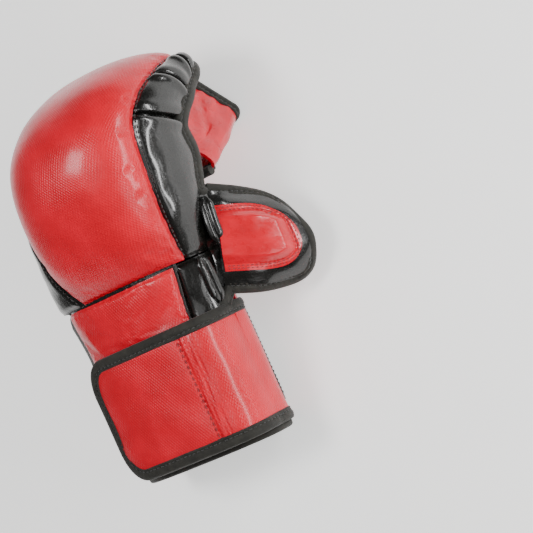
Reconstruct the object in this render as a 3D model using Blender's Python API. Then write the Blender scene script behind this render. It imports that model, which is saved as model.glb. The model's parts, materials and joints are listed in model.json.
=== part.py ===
"""Padded sparring glove for the left hand, lying palm down.

Units are millimetres in the glove's own frame (+X thumb side, +Y fingers, +Z back of the hand) and
become metres when a mesh is made.  The whole glove then leans back by LEAN_DEG, so that it rests
on the wrist mouth and on the finger loops, and moves so that its box stands centred on the origin.
"""
import math

import bpy
import bmesh
import numpy as np
from mathutils import Vector

MM = 0.001
GAP = 0.3                 # clearance between neighbouring solids
REST = 0.8                # clearance of the layers that lie on the sleeve, whose facets differ

# ---- wrist: an oval sleeve along Y ---------------------------------------------------------------
MOUTH_Y = -42.0           # open end of the sleeve
WRIST_SEAM_Y = 80.0       # seam between the wrist and the back of the hand
PALM_EDGE_Y = 110.0       # free edge of the palm panel
CUFF_END_Y = 45.0         # the sleeve keeps one section up to here
CUFF_X = -20.0            # centre of the sleeve
CUFF_HALF_WIDTH = 57.0
CUFF_TOP_Z = 54.0
CUFF_BOTTOM_Z = 4.0
SEAM_X = -14.0            # centre, widths and top of the section at the wrist seam
SEAM_RADIAL = 57.0
SEAM_ULNAR = 67.0
SEAM_TOP_Z = 56.0
OVAL_POWER = 2.6          # 2 is an ellipse, larger is squarer
LINING = 1.4

# ---- strap ---------------------------------------------------------------------------------------
STRAP_LOW_Y = -38.0
STRAP_HIGH_Y = 39.0
STRAP_THICK = 2.6
STRAP_LIFT = 13.8         # height of the flap over the sleeve, on top of pad and tapes
STRAP_EDGE_DEG = 86.0     # radial edge, where the flap hangs
STRAP_FOLD_DEG = 28.0     # sewn line where the free end peels
STRAP_TIP_DEG = -40.0     # free end
STRAP_TIP_ROUND = 20.0
BINDING_RADIUS = 2.3
ROOT_SETBACK_DEG = 5.0    # the bindings stop short of each hinge line, to clear each other
FOLD_SETBACK_DEG = 2.5
HOOK_THICK = 0.8
LABEL_THICK = 1.0
LABEL_FROM_DEG = 120.0
LABEL_TO_DEG = 222.0
LABEL_LOW_Y = -30.0
LABEL_HIGH_Y = 36.0
PLATE_HALF_X = 19.0       # flat printed plate under the label
PLATE_HALF_Y = 11.0
PLATE_THICK = 0.8
PLATE_Y = -8.0

# ---- wrist pad -----------------------------------------------------------------------------------
PAD_HIGH = 10.3
PAD_EDGE = 5.0
PAD_FROM_DEG = -52.0
PAD_TO_DEG = 38.0
PANEL_THICK = 3.0
SKIN = 1.3

# ---- padded back of the hand ---------------------------------------------------------------------
# One row for each station from the wrist seam over the knuckles to the finger end: crown Y, crown Z,
# forward lean of the section (degrees), centre X, half widths and drops on the thumb and outer sides.
HAND_STATIONS = np.array([
    (80.0, 66.0, 0.0, -14.0, 60.0, 68.0, 32.0, 32.0),
    (112.0, 84.0, 0.0, -12.0, 67.0, 62.0, 50.0, 50.0),
    (147.0, 94.0, 6.0, -5.0, 66.0, 62.0, 66.0, 60.0),
    (179.0, 89.0, 20.0, 0.0, 64.0, 60.0, 60.0, 54.0),
    (200.0, 70.0, 36.0, 2.0, 65.0, 56.0, 52.0, 46.0),
    (211.0, 44.0, 52.0, 3.0, 65.0, 54.0, 42.0, 38.0),
    (215.0, 18.0, 68.0, 3.0, 64.0, 52.0, 30.0, 28.0),
    (213.0, -4.0, 85.0, 3.0, 62.0, 50.0, 20.0, 20.0),
    (204.0, -22.0, 100.0, 3.0, 51.0, 44.0, 12.0, 12.0),
])
ARCH_POWER = 0.8          # below 1 the arch is squarer than an ellipse
HAND_ROWS = 14
ULNAR_COLUMNS = 3
DOME_COLUMNS = 9
RADIAL_COLUMNS = 4
THUMB_SEAM = 0.62         # place of the seams across the back, 0 crown and 1 edge
OUTER_SEAM_WRIST = 0.27
OUTER_SEAM_FINGERS = 0.80
OUTER_SEAM_REACH = 0.5    # the outer seam has swung over by this share of the way to the fingers
DOME_BULGE = 5.0
FOAM_CROWN = 16.0         # depth of the lining under the cover
FOAM_EDGE = 5.0
SEAM_INSET = 0.008        # half gap at a seam, across the back

# ---- finger loops --------------------------------------------------------------------------------
LOOP_TOP = Vector((127.0, 6.0))       # palm wall, hand side edge (Y, Z)
LOOP_BOTTOM = Vector((153.0, -42.0))  # palm wall, finger side edge (Y, Z)
LOOP_THICK = 2.2
LOOP_CORNER = 7.0
LOOP_LEG_TOP = 44.0
LOOP_LEG_BOTTOM = 45.0
LOOP_BINDING = 2.2
FINGERS = {               # inner X and outer X of each loop
    "index": (31.0, 57.5),
    "middle": (3.0, 30.0),
    "ring": (-25.0, 2.0),
    "little": (-50.0, -26.0),
}
INDEX_LEG_LEAN = 15.0      # the index loop's outer leg leans inward to pass inside the rim

# ---- palm patch ----------------------------------------------------------------------------------
PATCH_DEG = 212.0         # middle of the patch round the palm
PATCH_WIDTHS = {74.0: 10.0, 80.0: 17.0, 92.0: 20.0, 101.0: 12.0}   # Y: half width in degrees
PATCH_FOAM = 1.6
PATCH_COVER = 1.0

# ---- thumb hood ----------------------------------------------------------------------------------
THUMB_AXIS = Vector((54.0, 82.0, 28.0))      # hinge line runs along Y through this point
THUMB_ROOT = Vector((58.0, 82.0, 31.0))      # middle of the hood's base
THUMB_LENGTH = 49.0
THUMB_HALF_WIDTH = 33.0
THUMB_DIP_DEG = 32.0      # the hood points this far below the horizontal
THUMB_BACKWARD = -18.0    # the tip leans this far towards the wrist
THUMB_SIDE_DROP = 14.0
THUMB_TIP_DROP = 9.0
THUMB_FOAM = 6.0
THUMB_ROWS = 8
THUMB_COLUMNS = 10

# ---- resting attitude ----------------------------------------------------------------------------
LEAN_DEG = 13.2

RED = ("red_coated_fabric", (0.62, 0.008, 0.02, 1.0), 0.3)
BLACK = ("black_coated_fabric", (0.012, 0.012, 0.011, 1.0), 0.28)
BINDING = ("matte_binding", (0.035, 0.034, 0.03, 1.0), 0.75)
FABRIC = ("lining_fabric", (0.03, 0.031, 0.03, 1.0), 0.9)
NEOPRENE = ("neoprene", (0.05, 0.05, 0.045, 1.0), 0.85)
FOAM = ("moulded_foam", (0.12, 0.12, 0.11, 1.0), 0.95)
TAPE = ("hook_and_loop_tape", (0.02, 0.02, 0.02, 1.0), 0.95)
LABEL = ("woven_label", (0.03, 0.03, 0.028, 1.0), 0.8)
GREY = ("grey_print", (0.35, 0.34, 0.29, 1.0), 0.6)


# ---- scene and mesh helpers ----------------------------------------------------------------------
def clear_scene():
    for item in list(bpy.data.objects):
        bpy.data.objects.remove(item, do_unlink=True)


def material(spec):
    name, colour, roughness = spec
    found = bpy.data.materials.get(name)
    if found:
        return found
    made = bpy.data.materials.new(name)
    made.use_nodes = True
    shader = made.node_tree.nodes["Principled BSDF"]
    shader.inputs["Base Color"].default_value = colour
    shader.inputs["Roughness"].default_value = roughness
    shader.inputs["Metallic"].default_value = 0.0
    return made


def empty(name, place, parent=None):
    made = bpy.data.objects.new(name, None)
    bpy.context.scene.collection.objects.link(made)
    made.parent = parent
    made.location = Vector(place) * MM
    return made


def solid(name, verts, faces, spec, body):
    """A closed mesh from glove-frame millimetres, carried by the empty `body`."""
    mesh = bpy.data.meshes.new(name)
    origin = body_origin(body)
    mesh.from_pydata([(Vector(v) - origin) * MM for v in verts], [], faces)
    shape = bmesh.new()
    shape.from_mesh(mesh)
    bmesh.ops.recalc_face_normals(shape, faces=shape.faces)
    if shape.calc_volume(signed=True) < 0.0:
        bmesh.ops.reverse_faces(shape, faces=shape.faces)
    shape.to_mesh(mesh)
    shape.free()
    mesh.materials.append(material(spec))
    mesh.shade_smooth()
    mesh.set_sharp_from_angle(angle=math.radians(40.0))
    made = bpy.data.objects.new(name, mesh)
    bpy.context.scene.collection.objects.link(made)
    made.parent = body
    return made


def body_origin(body):
    total = Vector((0.0, 0.0, 0.0))
    while body.parent:
        total += body.location / MM
        body = body.parent
    return total


def normal(surface, u, v):
    step = 0.01
    along_u = surface(u + step, v) - surface(u - step, v)
    along_v = surface(u, v + step) - surface(u, v - step)
    return along_u.cross(along_v).normalized()


def layer(name, surface, rows, columns, outer, inner, spec, body):
    """A sheet of cloth or foam between two offsets of a surface.

    columns(v) lists the places across row v; outer and inner give offsets along the normal."""
    outside = []
    inside = []
    for v in rows:
        for u in columns(v):
            point = surface(u, v)
            away = normal(surface, u, v)
            outside.append(point + away * outer(u, v))
            inside.append(point + away * inner(u, v))
    across = len(columns(rows[0]))
    down = len(rows)
    under = len(outside)
    faces = []
    for r in range(down - 1):
        for c in range(across - 1):
            a = r * across + c
            b = a + 1
            d = a + across
            e = d + 1
            faces.append((a, b, e, d))
            faces.append((under + a, under + d, under + e, under + b))
    border = list(range(across))
    border += [r * across + across - 1 for r in range(1, down)]
    border += [(down - 1) * across + c for c in range(across - 2, -1, -1)]
    border += [r * across for r in range(down - 2, 0, -1)]
    for k, a in enumerate(border):
        b = border[(k + 1) % len(border)]
        faces.append((a, under + a, under + b, b))
    return solid(name, outside + inside, faces, spec, body)


def tube(name, path, radius, spec, body, sides=8, closed=False):
    """A round binding swept along a path of points."""
    points = [Vector(p) for p in path]
    count = len(points)
    verts = []
    faces = []
    last_side = None
    for k, point in enumerate(points):
        ahead = points[(k + 1) % count] if closed else points[min(k + 1, count - 1)]
        behind = points[k - 1] if closed or k > 0 else points[0]
        along = (ahead - behind).normalized()
        if last_side is None:
            reference = Vector((0, 0, 1)) if abs(along.z) < 0.8 else Vector((0, 1, 0))
            last_side = along.cross(reference).normalized()
        side = (last_side - along * last_side.dot(along)).normalized()
        last_side = side
        up = along.cross(side)
        for s in range(sides):
            turn = 2.0 * math.pi * s / sides
            verts.append(point + (side * math.cos(turn) + up * math.sin(turn)) * radius)
    for k in range(count if closed else count - 1):
        for s in range(sides):
            a = k * sides + s
            b = k * sides + (s + 1) % sides
            c = ((k + 1) % count) * sides + (s + 1) % sides
            d = ((k + 1) % count) * sides + s
            faces.append((a, b, c, d))
    if not closed:
        faces.append(tuple(reversed(range(sides))))
        faces.append(tuple((count - 1) * sides + s for s in range(sides)))
    return solid(name, verts, faces, spec, body)


def blend(a, b, share):
    return a + (b - a) * share


def smooth(share):
    share = min(max(share, 0.0), 1.0)
    return share * share * (3.0 - 2.0 * share)


def steps(low, high, count):
    return [blend(low, high, k / count) for k in range(count + 1)]


def flat(value):
    return lambda u, v: value


# ---- surfaces ------------------------------------------------------------------------------------
def oval(turn_deg, y):
    """The wrist sleeve's outside: turn 0 is the back, 90 the thumb side, 180 the palm."""
    share = smooth((y - CUFF_END_Y) / (WRIST_SEAM_Y - CUFF_END_Y))
    turn = math.radians(turn_deg)
    sine = math.sin(turn)
    cosine = math.cos(turn)
    side = SEAM_RADIAL if sine > 0 else SEAM_ULNAR
    width = blend(CUFF_HALF_WIDTH, side, share)
    top = blend(CUFF_TOP_Z, SEAM_TOP_Z, share)
    middle = 0.5 * (CUFF_TOP_Z + CUFF_BOTTOM_Z)
    height = top - middle if cosine > 0 else middle - CUFF_BOTTOM_Z
    power = 2.0 / OVAL_POWER
    x = blend(CUFF_X, SEAM_X, share) + width * math.copysign(abs(sine) ** power, sine)
    z = middle + height * math.copysign(abs(cosine) ** power, cosine)
    return Vector((x, y, z))


def station(share):
    """Catmull-Rom through HAND_STATIONS."""
    last = len(HAND_STATIONS) - 1
    place = min(max(share, -0.02), 1.02) * last
    k = min(max(int(math.floor(place)), 0), last - 1)
    t = place - k
    b = HAND_STATIONS[k]
    c = HAND_STATIONS[k + 1]
    a = HAND_STATIONS[k - 1] if k > 0 else 2 * b - c
    d = HAND_STATIONS[k + 2] if k + 2 <= last else 2 * c - b
    return 0.5 * (2 * b + (c - a) * t + (2 * a - 5 * b + 4 * c - d) * t ** 2
                  + (3 * b - a - 3 * c + d) * t ** 3)


def hand(u, v):
    """The back of the hand: u from -1 outer edge to 1 thumb edge, v from the wrist to the fingers."""
    y, z, lean, x, radial, ulnar, drop_radial, drop_ulnar = station(v)
    turn = u * math.pi / 2.0
    sine = abs(math.sin(turn)) ** ARCH_POWER
    fall = 1.0 - max(math.cos(turn), 0.0) ** ARCH_POWER
    width = radial if u > 0 else -ulnar
    drop = (drop_radial if u > 0 else drop_ulnar) * fall
    lean = math.radians(lean)
    return Vector((x + width * sine, y - math.sin(lean) * drop, z - math.cos(lean) * drop))


def hand_edge(v):
    """The rounded finger end draws the edges in."""
    return 0.985 - 0.45 * max(0.0, (v - 0.78) / 0.22) ** 2.5


def hand_columns(v):
    edge = hand_edge(v)
    swing = min(max(v / OUTER_SEAM_REACH, 0.0), 1.0) ** 0.8
    outer_seam = -blend(OUTER_SEAM_WRIST, OUTER_SEAM_FINGERS, swing) * edge
    thumb_seam = THUMB_SEAM * edge
    places = steps(-edge, outer_seam, ULNAR_COLUMNS)
    places += steps(outer_seam, thumb_seam, DOME_COLUMNS)[1:]
    places += steps(thumb_seam, edge, RADIAL_COLUMNS)[1:]
    return places


def seam_slice(first, last):
    """Columns first..last of the shared grid, drawn in a little at both ends."""
    def columns(v):
        places = hand_columns(v)[first:last + 1]
        places[0] += SEAM_INSET
        places[-1] -= SEAM_INSET
        return places
    return columns


def dome_rise(u, v):
    """The red cover swells between its seams."""
    places = hand_columns(v)
    low = places[ULNAR_COLUMNS]
    high = places[ULNAR_COLUMNS + DOME_COLUMNS]
    across = (u - low) / (high - low)
    if across <= 0.0 or across >= 1.0:
        return 0.0
    side = 1.0 - abs(2.0 * across - 1.0) ** 3
    along = 1.0 - abs(2.0 * min(max(v, 0.0), 1.0) - 1.0) ** 6
    return DOME_BULGE * side * along


def lining_depth(u, v):
    along = 1.0 - abs(2.0 * min(max(v, 0.0), 1.0) - 1.0) ** 5
    side = 1.0 - abs(u) ** 3
    return blend(FOAM_EDGE, FOAM_CROWN, max(along * side, 0.0))


def thumb(r, s):
    """The thumb hood: r from -1 to 1 across, s from the base to the tip."""
    dip = math.radians(THUMB_DIP_DEG)
    along = Vector((math.cos(dip), 0.0, -math.sin(dip)))
    face = Vector((math.sin(dip), 0.0, math.cos(dip)))
    narrow = max(1.0 - max(s, 0.0) ** 3.2, 0.0) ** 0.55
    reach = THUMB_LENGTH * (s - 0.06 * s * r * r)
    width = THUMB_HALF_WIDTH * blend(0.34, 1.0, narrow)
    side_fall = blend(5.0, THUMB_SIDE_DROP, smooth(1.6 * s)) * (1.0 - 0.75 * max(s, 0.0) ** 4)
    fall = side_fall * abs(r) ** 2.4 + THUMB_TIP_DROP * max(s, 0.0) ** 2.5
    sway = Vector((0.0, r * width + THUMB_BACKWARD * s, 0.0))
    return THUMB_ROOT + along * reach + sway - face * fall


# ---- sub-parts: wrist ----------------------------------------------------------------------------
def pad_rise(top):
    def rise(turn, y):
        across = abs(2.0 * (turn - PAD_FROM_DEG) / (PAD_TO_DEG - PAD_FROM_DEG) - 1.0)
        return blend(PAD_EDGE, PAD_HIGH, 1.0 - min(across, 1.0) ** 3) + top
    return rise


def make_wrist(body):
    make_sleeve(body)
    pad_columns = lambda v: steps(PAD_FROM_DEG, PAD_TO_DEG, 8)
    pad_y = steps(STRAP_LOW_Y, CUFF_END_Y, 1) + steps(CUFF_END_Y, WRIST_SEAM_Y - 1.0, 3)[1:]
    layer("wrist_foam", oval, pad_y, pad_columns, pad_rise(-SKIN - GAP), flat(REST), FOAM, body)
    layer("wrist_cover", oval, pad_y, pad_columns, pad_rise(0.0), pad_rise(-SKIN), RED, body)
    side_rows = steps(CUFF_END_Y + 1.5, WRIST_SEAM_Y - 1.0, 3)
    layer("radial_panel", oval, side_rows, lambda v: steps(PAD_TO_DEG + 1.0, 84.0, 4),
          flat(PANEL_THICK), flat(REST), BLACK, body)
    layer("ulnar_panel", oval, side_rows, lambda v: steps(-105.0, PAD_FROM_DEG - 1.0, 5),
          flat(PANEL_THICK), flat(REST), NEOPRENE, body)
    palm_columns = lambda v: steps(98.0, 253.0, 13)
    layer("wrist_band", oval, steps(CUFF_END_Y + 1.5, 59.0, 1), palm_columns,
          flat(2.4), flat(REST), RED, body)
    layer("wrist_band_binding", oval, steps(59.5, 66.0, 1), palm_columns,
          flat(3.6), flat(REST), BINDING, body)
    layer("loop_tape", oval, [-30.0, 34.0], lambda v: steps(-40.0, 20.0, 6),
          pad_rise(2.0 * GAP + 0.8), pad_rise(2.0 * GAP), TAPE, body)


def make_sleeve(body):
    """The lining tube, open at both ends."""
    turns = 48
    rows = [MOUTH_Y, CUFF_END_Y] + steps(CUFF_END_Y, WRIST_SEAM_Y - 1.2, 3)[1:]
    verts = []
    for offset in (0.0, -LINING):
        for y in rows:
            for k in range(turns):
                turn = 360.0 * k / turns - 180.0
                away = normal(oval, turn, y)
                verts.append(oval(turn, y) + away * offset)
    faces = []
    down = len(rows)
    inner = turns * down
    for r in range(down - 1):
        for k in range(turns):
            a = r * turns + k
            b = r * turns + (k + 1) % turns
            faces.append((a, b, b + turns, a + turns))
            faces.append((inner + a, inner + a + turns, inner + b + turns, inner + b))
    for r in (0, down - 1):
        for k in range(turns):
            a = r * turns + k
            b = r * turns + (k + 1) % turns
            faces.append((a, inner + a, inner + b, b))
    solid("cuff_lining", verts, faces, FABRIC, body)
    radius = 2.6          # of the binding round the mouth
    path = []
    for k in range(turns):
        turn = 360.0 * k / turns
        path.append(oval(turn, MOUTH_Y - radius - GAP) - normal(oval, turn, MOUTH_Y) * 0.5 * LINING)
    tube("cuff_mouth_binding", path, radius, BINDING, body, closed=True)


# ---- sub-parts: strap ----------------------------------------------------------------------------
def strap_lift(turn):
    """Height of the strap's underside over the sleeve."""
    return blend(REST, STRAP_LIFT, smooth((STRAP_EDGE_DEG - turn) / (STRAP_EDGE_DEG - 40.0)))


def strap_surface(turn, y):
    base = oval(turn, y)
    return base + normal(oval, turn, y) * strap_lift(turn)


def tip_margin(turn):
    """How far the rounded end draws the strap's edges in."""
    arc = math.radians(turn - STRAP_TIP_DEG) * (CUFF_HALF_WIDTH + STRAP_LIFT)
    if arc >= STRAP_TIP_ROUND:
        return 0.0
    return STRAP_TIP_ROUND - math.sqrt(max(STRAP_TIP_ROUND ** 2 - (STRAP_TIP_ROUND - arc) ** 2, 0.0))


def strap_piece(name, turns, body):
    """A length of the strap whose rows run along it, so that its rounded end can narrow."""
    def place(y_share, turn):
        margin = tip_margin(turn)
        return strap_surface(turn, blend(STRAP_LOW_Y + margin, STRAP_HIGH_Y - margin, y_share))
    return layer(name, place, turns, lambda v: steps(0.0, 1.0, 4),
                 flat(-STRAP_THICK), flat(0.0), RED, body)


def strap_edge(turn, y):
    """Centre of the binding beside the strap."""
    return strap_surface(turn, y) + normal(oval, turn, y) * (0.5 * STRAP_THICK + 0.9)


def strap_tip_path(turns, reach):
    """Round the free end: up one edge, round two corners and back along the other."""
    radius = STRAP_TIP_ROUND + reach
    per_mm = math.degrees(1.0 / (CUFF_HALF_WIDTH + STRAP_LIFT))
    corner_turn = STRAP_TIP_DEG + STRAP_TIP_ROUND * per_mm
    straight = [turn for turn in turns if turn > corner_turn + 1.0]
    path = []
    for side in (1, -1):
        edge = STRAP_HIGH_Y if side > 0 else STRAP_LOW_Y
        half = [strap_edge(turn, edge + side * reach) for turn in straight]
        for k in range(7):
            swing = math.pi / 2.0 * k / 6
            turn = corner_turn - radius * math.sin(swing) * per_mm
            y = edge - side * (STRAP_TIP_ROUND - radius * math.cos(swing))
            half.append(strap_edge(turn, y))
        path += half if side > 0 else list(reversed(half))
    return path


def make_strap_base(body):
    turns = steps(STRAP_EDGE_DEG + 1.0, 262.0, 14)
    top = REST + STRAP_THICK
    layer("strap_base", oval, [STRAP_LOW_Y, STRAP_HIGH_Y], lambda v: turns, flat(top), flat(REST), RED, body)
    bound = [turns[0] + ROOT_SETBACK_DEG] + turns[1:]
    upper_y = STRAP_HIGH_Y + BINDING_RADIUS + GAP
    upper = [oval(t, upper_y) + normal(oval, t, upper_y) * (BINDING_RADIUS + REST) for t in bound]
    tube("strap_base_binding_upper", upper, BINDING_RADIUS, BINDING, body)
    lower_radius = 1.0
    lower_y = STRAP_LOW_Y + 3.0
    lower = [oval(t, lower_y) + normal(oval, t, lower_y) * (top + REST + lower_radius) for t in bound]
    tube("strap_base_binding_lower", lower, lower_radius, BINDING, body, sides=6)
    label_turns = steps(LABEL_FROM_DEG, LABEL_TO_DEG, 8)
    layer("strap_label", oval, [LABEL_LOW_Y, LABEL_HIGH_Y], lambda v: label_turns,
          flat(top + REST + LABEL_THICK), flat(top + REST), LABEL, body)


def make_label_panel(body):
    """A flat printed plate on the underside of the label."""
    top = CUFF_BOTTOM_Z - (REST + STRAP_THICK + REST + LABEL_THICK + GAP)
    corners = ((-1, -1), (1, -1), (1, 1), (-1, 1))
    verts = [(CUFF_X + sx * PLATE_HALF_X, PLATE_Y + sy * PLATE_HALF_Y, z)
             for z in (top - PLATE_THICK, top) for sx, sy in corners]
    faces = [(0, 3, 2, 1), (4, 5, 6, 7)]
    faces += [(k, (k + 1) % 4, 4 + (k + 1) % 4, 4 + k) for k in range(4)]
    solid("label_panel", verts, faces, GREY, body)


def make_strap(wrap, peel):
    crease = 0.3          # degrees on each side of the fold line
    tip_from = -22.0      # rows stand closer together from here to the rounded end
    root_turns = steps(STRAP_EDGE_DEG, STRAP_FOLD_DEG + crease, 8)
    tip_turns = steps(STRAP_FOLD_DEG - crease, tip_from, 9) + steps(tip_from, STRAP_TIP_DEG + 0.4, 6)[1:]
    strap_piece("strap_root", root_turns, wrap)
    strap_piece("strap_flap", tip_turns, peel)
    reach = BINDING_RADIUS + GAP
    bound = steps(STRAP_EDGE_DEG - ROOT_SETBACK_DEG, STRAP_FOLD_DEG + FOLD_SETBACK_DEG, 8)
    for word, y in (("upper", STRAP_HIGH_Y + reach), ("lower", STRAP_LOW_Y - reach)):
        tube("strap_root_binding_" + word, [strap_edge(turn, y) for turn in bound],
             BINDING_RADIUS, BINDING, wrap)
    tip_bound = [STRAP_FOLD_DEG - FOLD_SETBACK_DEG] + tip_turns[1:]
    tube("strap_flap_binding", strap_tip_path(tip_bound, reach + 3.0 * GAP), BINDING_RADIUS, BINDING, peel)
    hook = STRAP_LIFT - 2.0 * GAP
    layer("hook_tape", oval, [-26.0, 30.0], lambda v: steps(-30.0, 10.0, 4),
          flat(hook), flat(hook - HOOK_THICK), TAPE, peel)


# ---- sub-parts: hand -----------------------------------------------------------------------------
def make_hand(body):
    rows = steps(0.0, 1.0, HAND_ROWS)
    last = ULNAR_COLUMNS + DOME_COLUMNS + RADIAL_COLUMNS
    dome_from = ULNAR_COLUMNS
    dome_to = ULNAR_COLUMNS + DOME_COLUMNS
    layer("outer_gusset", hand, rows, seam_slice(0, dome_from), flat(0.0), flat(-SKIN), BLACK, body)
    layer("dome_cover", hand, rows, seam_slice(dome_from, dome_to), dome_rise,
          lambda u, v: dome_rise(u, v) - SKIN, RED, body)
    layer("index_gusset", hand, rows, seam_slice(dome_to, last), flat(0.0), flat(-SKIN), BLACK, body)
    layer("hand_foam", hand, rows, hand_columns, lambda u, v: dome_rise(u, v) - SKIN - GAP,
          lambda u, v: -lining_depth(u, v), FOAM, body)
    layer("hand_lining", hand, rows, hand_columns, lambda u, v: -lining_depth(u, v) - 2.0 * GAP,
          lambda u, v: -lining_depth(u, v) - 2.0 * GAP - LINING, FABRIC, body)
    tube("rim_binding", rim_path(), 3.4, BINDING, body)


def rim_path():
    """Round the free edge, from the thumb web over the finger ends to the outer side."""
    reach = 5.0
    start = 0.17
    path = []
    for side in (1, -1):
        stretch = []
        for v in steps(start, 1.0, 14):
            edge = side * hand_edge(v)
            inward = (hand(edge - side * 0.05, v) - hand(edge, v)).normalized()
            middle = hand(edge, v) - normal(hand, edge, v) * 0.5 * (FOAM_EDGE + LINING)
            outward = -inward * reach
            if v > 0.93:
                forward = (hand(edge, v) - hand(edge, v - 0.02)).normalized()
                outward = (outward + forward * reach * (v - 0.93) / 0.07).normalized() * reach * 1.15
            stretch.append(middle + outward)
        across = []
        for share in (0.66, 0.33):
            u = side * hand_edge(1.0) * share
            forward = (hand(u, 1.0) - hand(u, 0.98)).normalized()
            across.append(hand(u, 1.0) - normal(hand, u, 1.0) * 0.5 * (FOAM_EDGE + LINING)
                          + forward * reach)
        stretch += across
        path += stretch if side > 0 else list(reversed(stretch))
    return path


# ---- sub-parts: finger loops ---------------------------------------------------------------------
def loop_outline(inner_x, outer_x, inset, lean):
    """The U of a finger loop in its own plane: X across, depth from the palm wall."""
    low = inner_x + inset
    high = outer_x - inset
    corner = LOOP_CORNER - inset
    points = [(low, 1.0), (low, LOOP_CORNER / LOOP_LEG_TOP)]
    for k in range(1, 5):
        turn = math.pi / 2.0 * k / 4
        points.append((low + corner * (1 - math.cos(turn)),
                       (inset + corner * (1 - math.sin(turn))) / LOOP_LEG_TOP))
    for k in range(4):
        turn = math.pi / 2.0 * k / 4
        points.append((high - corner * (1 - math.sin(turn)),
                       (inset + corner * (1 - math.cos(turn))) / LOOP_LEG_TOP))
    points += [(high, LOOP_CORNER / LOOP_LEG_TOP), (high - lean, 1.0)]
    return points


def loop_point(x, depth, share):
    """Depth 0..1 along the legs, share 0..1 from the hand side edge to the finger side edge."""
    wall = LOOP_TOP.lerp(LOOP_BOTTOM, share)
    down = (LOOP_BOTTOM - LOOP_TOP).normalized()
    leg = Vector((-down.y, down.x)) * blend(LOOP_LEG_TOP, LOOP_LEG_BOTTOM, share) * depth
    return Vector((x, wall.x + leg.x, wall.y + leg.y))


def make_loops(body):
    for finger, (inner_x, outer_x) in FINGERS.items():
        lean = INDEX_LEG_LEAN if finger == "index" else 0.0
        outside = loop_outline(inner_x, outer_x, 0.0, lean)
        inside = loop_outline(inner_x, outer_x, LOOP_THICK, lean)
        count = len(outside)
        verts = []
        for share in (0.0, 1.0):
            verts += [loop_point(x, d, share) for x, d in outside]
            verts += [loop_point(x, d, share) for x, d in inside]
        faces = []
        for k in range(count - 1):
            faces.append((k, k + 1, 2 * count + k + 1, 2 * count + k))
            faces.append((count + k, 3 * count + k, 3 * count + k + 1, count + k + 1))
            faces.append((k, count + k, count + k + 1, k + 1))
            faces.append((2 * count + k, 2 * count + k + 1, 3 * count + k + 1, 3 * count + k))
        for k in (0, count - 1):
            faces.append((k, 2 * count + k, 3 * count + k, count + k))
        solid("finger_loop_" + finger, verts, faces, RED, body)
        middle = loop_outline(inner_x, outer_x, 0.5 * LOOP_THICK + 0.9, lean)
        beyond = 1.0 + (LOOP_BINDING + GAP) / (LOOP_BOTTOM - LOOP_TOP).length
        path = [loop_point(x, d, beyond) for x, d in middle]
        path[0] = loop_point(middle[0][0], 0.93, beyond)
        path[-1] = loop_point(middle[-1][0], 0.93, beyond)
        tube("loop_binding_" + finger, path, LOOP_BINDING - 0.2, BINDING, body, sides=6)
    first = min(low for low, high in FINGERS.values())
    last = max(high for low, high in FINGERS.values())
    before = -(3.2 + GAP) / (LOOP_BOTTOM - LOOP_TOP).length
    bar = [loop_point(x, 0.05, before) for x in steps(first + 3.0, last - 6.0, 3)]
    tube("palm_bar", bar, 3.0, BINDING, body)


# ---- sub-parts: palm -----------------------------------------------------------------------------
def palm(turn, y):
    """The palm side carries the wrist's lower half on towards the fingers."""
    base = oval(turn, min(y, WRIST_SEAM_Y))
    return Vector((base.x, y, base.z))


def make_palm(body):
    turns = steps(135.0, 253.0, 10)
    layer("palm_panel", palm, [67.0, WRIST_SEAM_Y, PALM_EDGE_Y], lambda v: turns,
          flat(PANEL_THICK), flat(REST), BLACK, body)
    edge = PALM_EDGE_Y + 2.4 + GAP
    path = [palm(t, edge) + normal(palm, t, 90.0) * 1.6 for t in turns]
    tube("palm_binding", path, 2.4, BINDING, body)
    columns = lambda v: steps(PATCH_DEG - PATCH_WIDTHS[v], PATCH_DEG + PATCH_WIDTHS[v], 5)
    rows = sorted(PATCH_WIDTHS)
    lift = PANEL_THICK + GAP
    cover = lift + PATCH_FOAM + GAP
    layer("palm_patch_foam", palm, rows, columns, flat(lift + PATCH_FOAM), flat(lift), FOAM, body)
    layer("palm_patch", palm, rows, columns, flat(cover + PATCH_COVER), flat(cover), RED, body)


# ---- sub-parts: thumb ----------------------------------------------------------------------------
def make_thumb(body):
    rows = steps(0.0, 0.97, THUMB_ROWS)
    columns = lambda v: steps(-1.0, 1.0, THUMB_COLUMNS)
    inner_rows = rows[:-1] + [0.91]
    inner_columns = lambda v: [-0.96] + columns(v)[1:-1] + [0.96]
    foam = THUMB_FOAM
    layer("thumb_cover", thumb, rows, columns, flat(0.0), flat(SKIN), BLACK, body)
    layer("thumb_foam", thumb, inner_rows, inner_columns, flat(SKIN + 2.0 * GAP), flat(SKIN + foam),
          FOAM, body)
    layer("thumb_lining", thumb, inner_rows, inner_columns, flat(SKIN + foam + 2.0 * GAP),
          flat(SKIN + foam + 2.0 * GAP + LINING), FABRIC, body)
    patch_rows = rows[:7]
    patch_columns = lambda v: steps(-0.6, 0.6, 6)
    cover = PATCH_FOAM + GAP
    layer("thumb_patch_foam", thumb, patch_rows, patch_columns, flat(-PATCH_FOAM), flat(-GAP), FOAM, body)
    layer("thumb_patch", thumb, patch_rows, patch_columns, flat(-cover - PATCH_COVER), flat(-cover),
          RED, body)
    tube("thumb_binding", thumb_rim(rows[1:]), 3.0, BINDING, body)
    make_thumb_loop(body)


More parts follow.
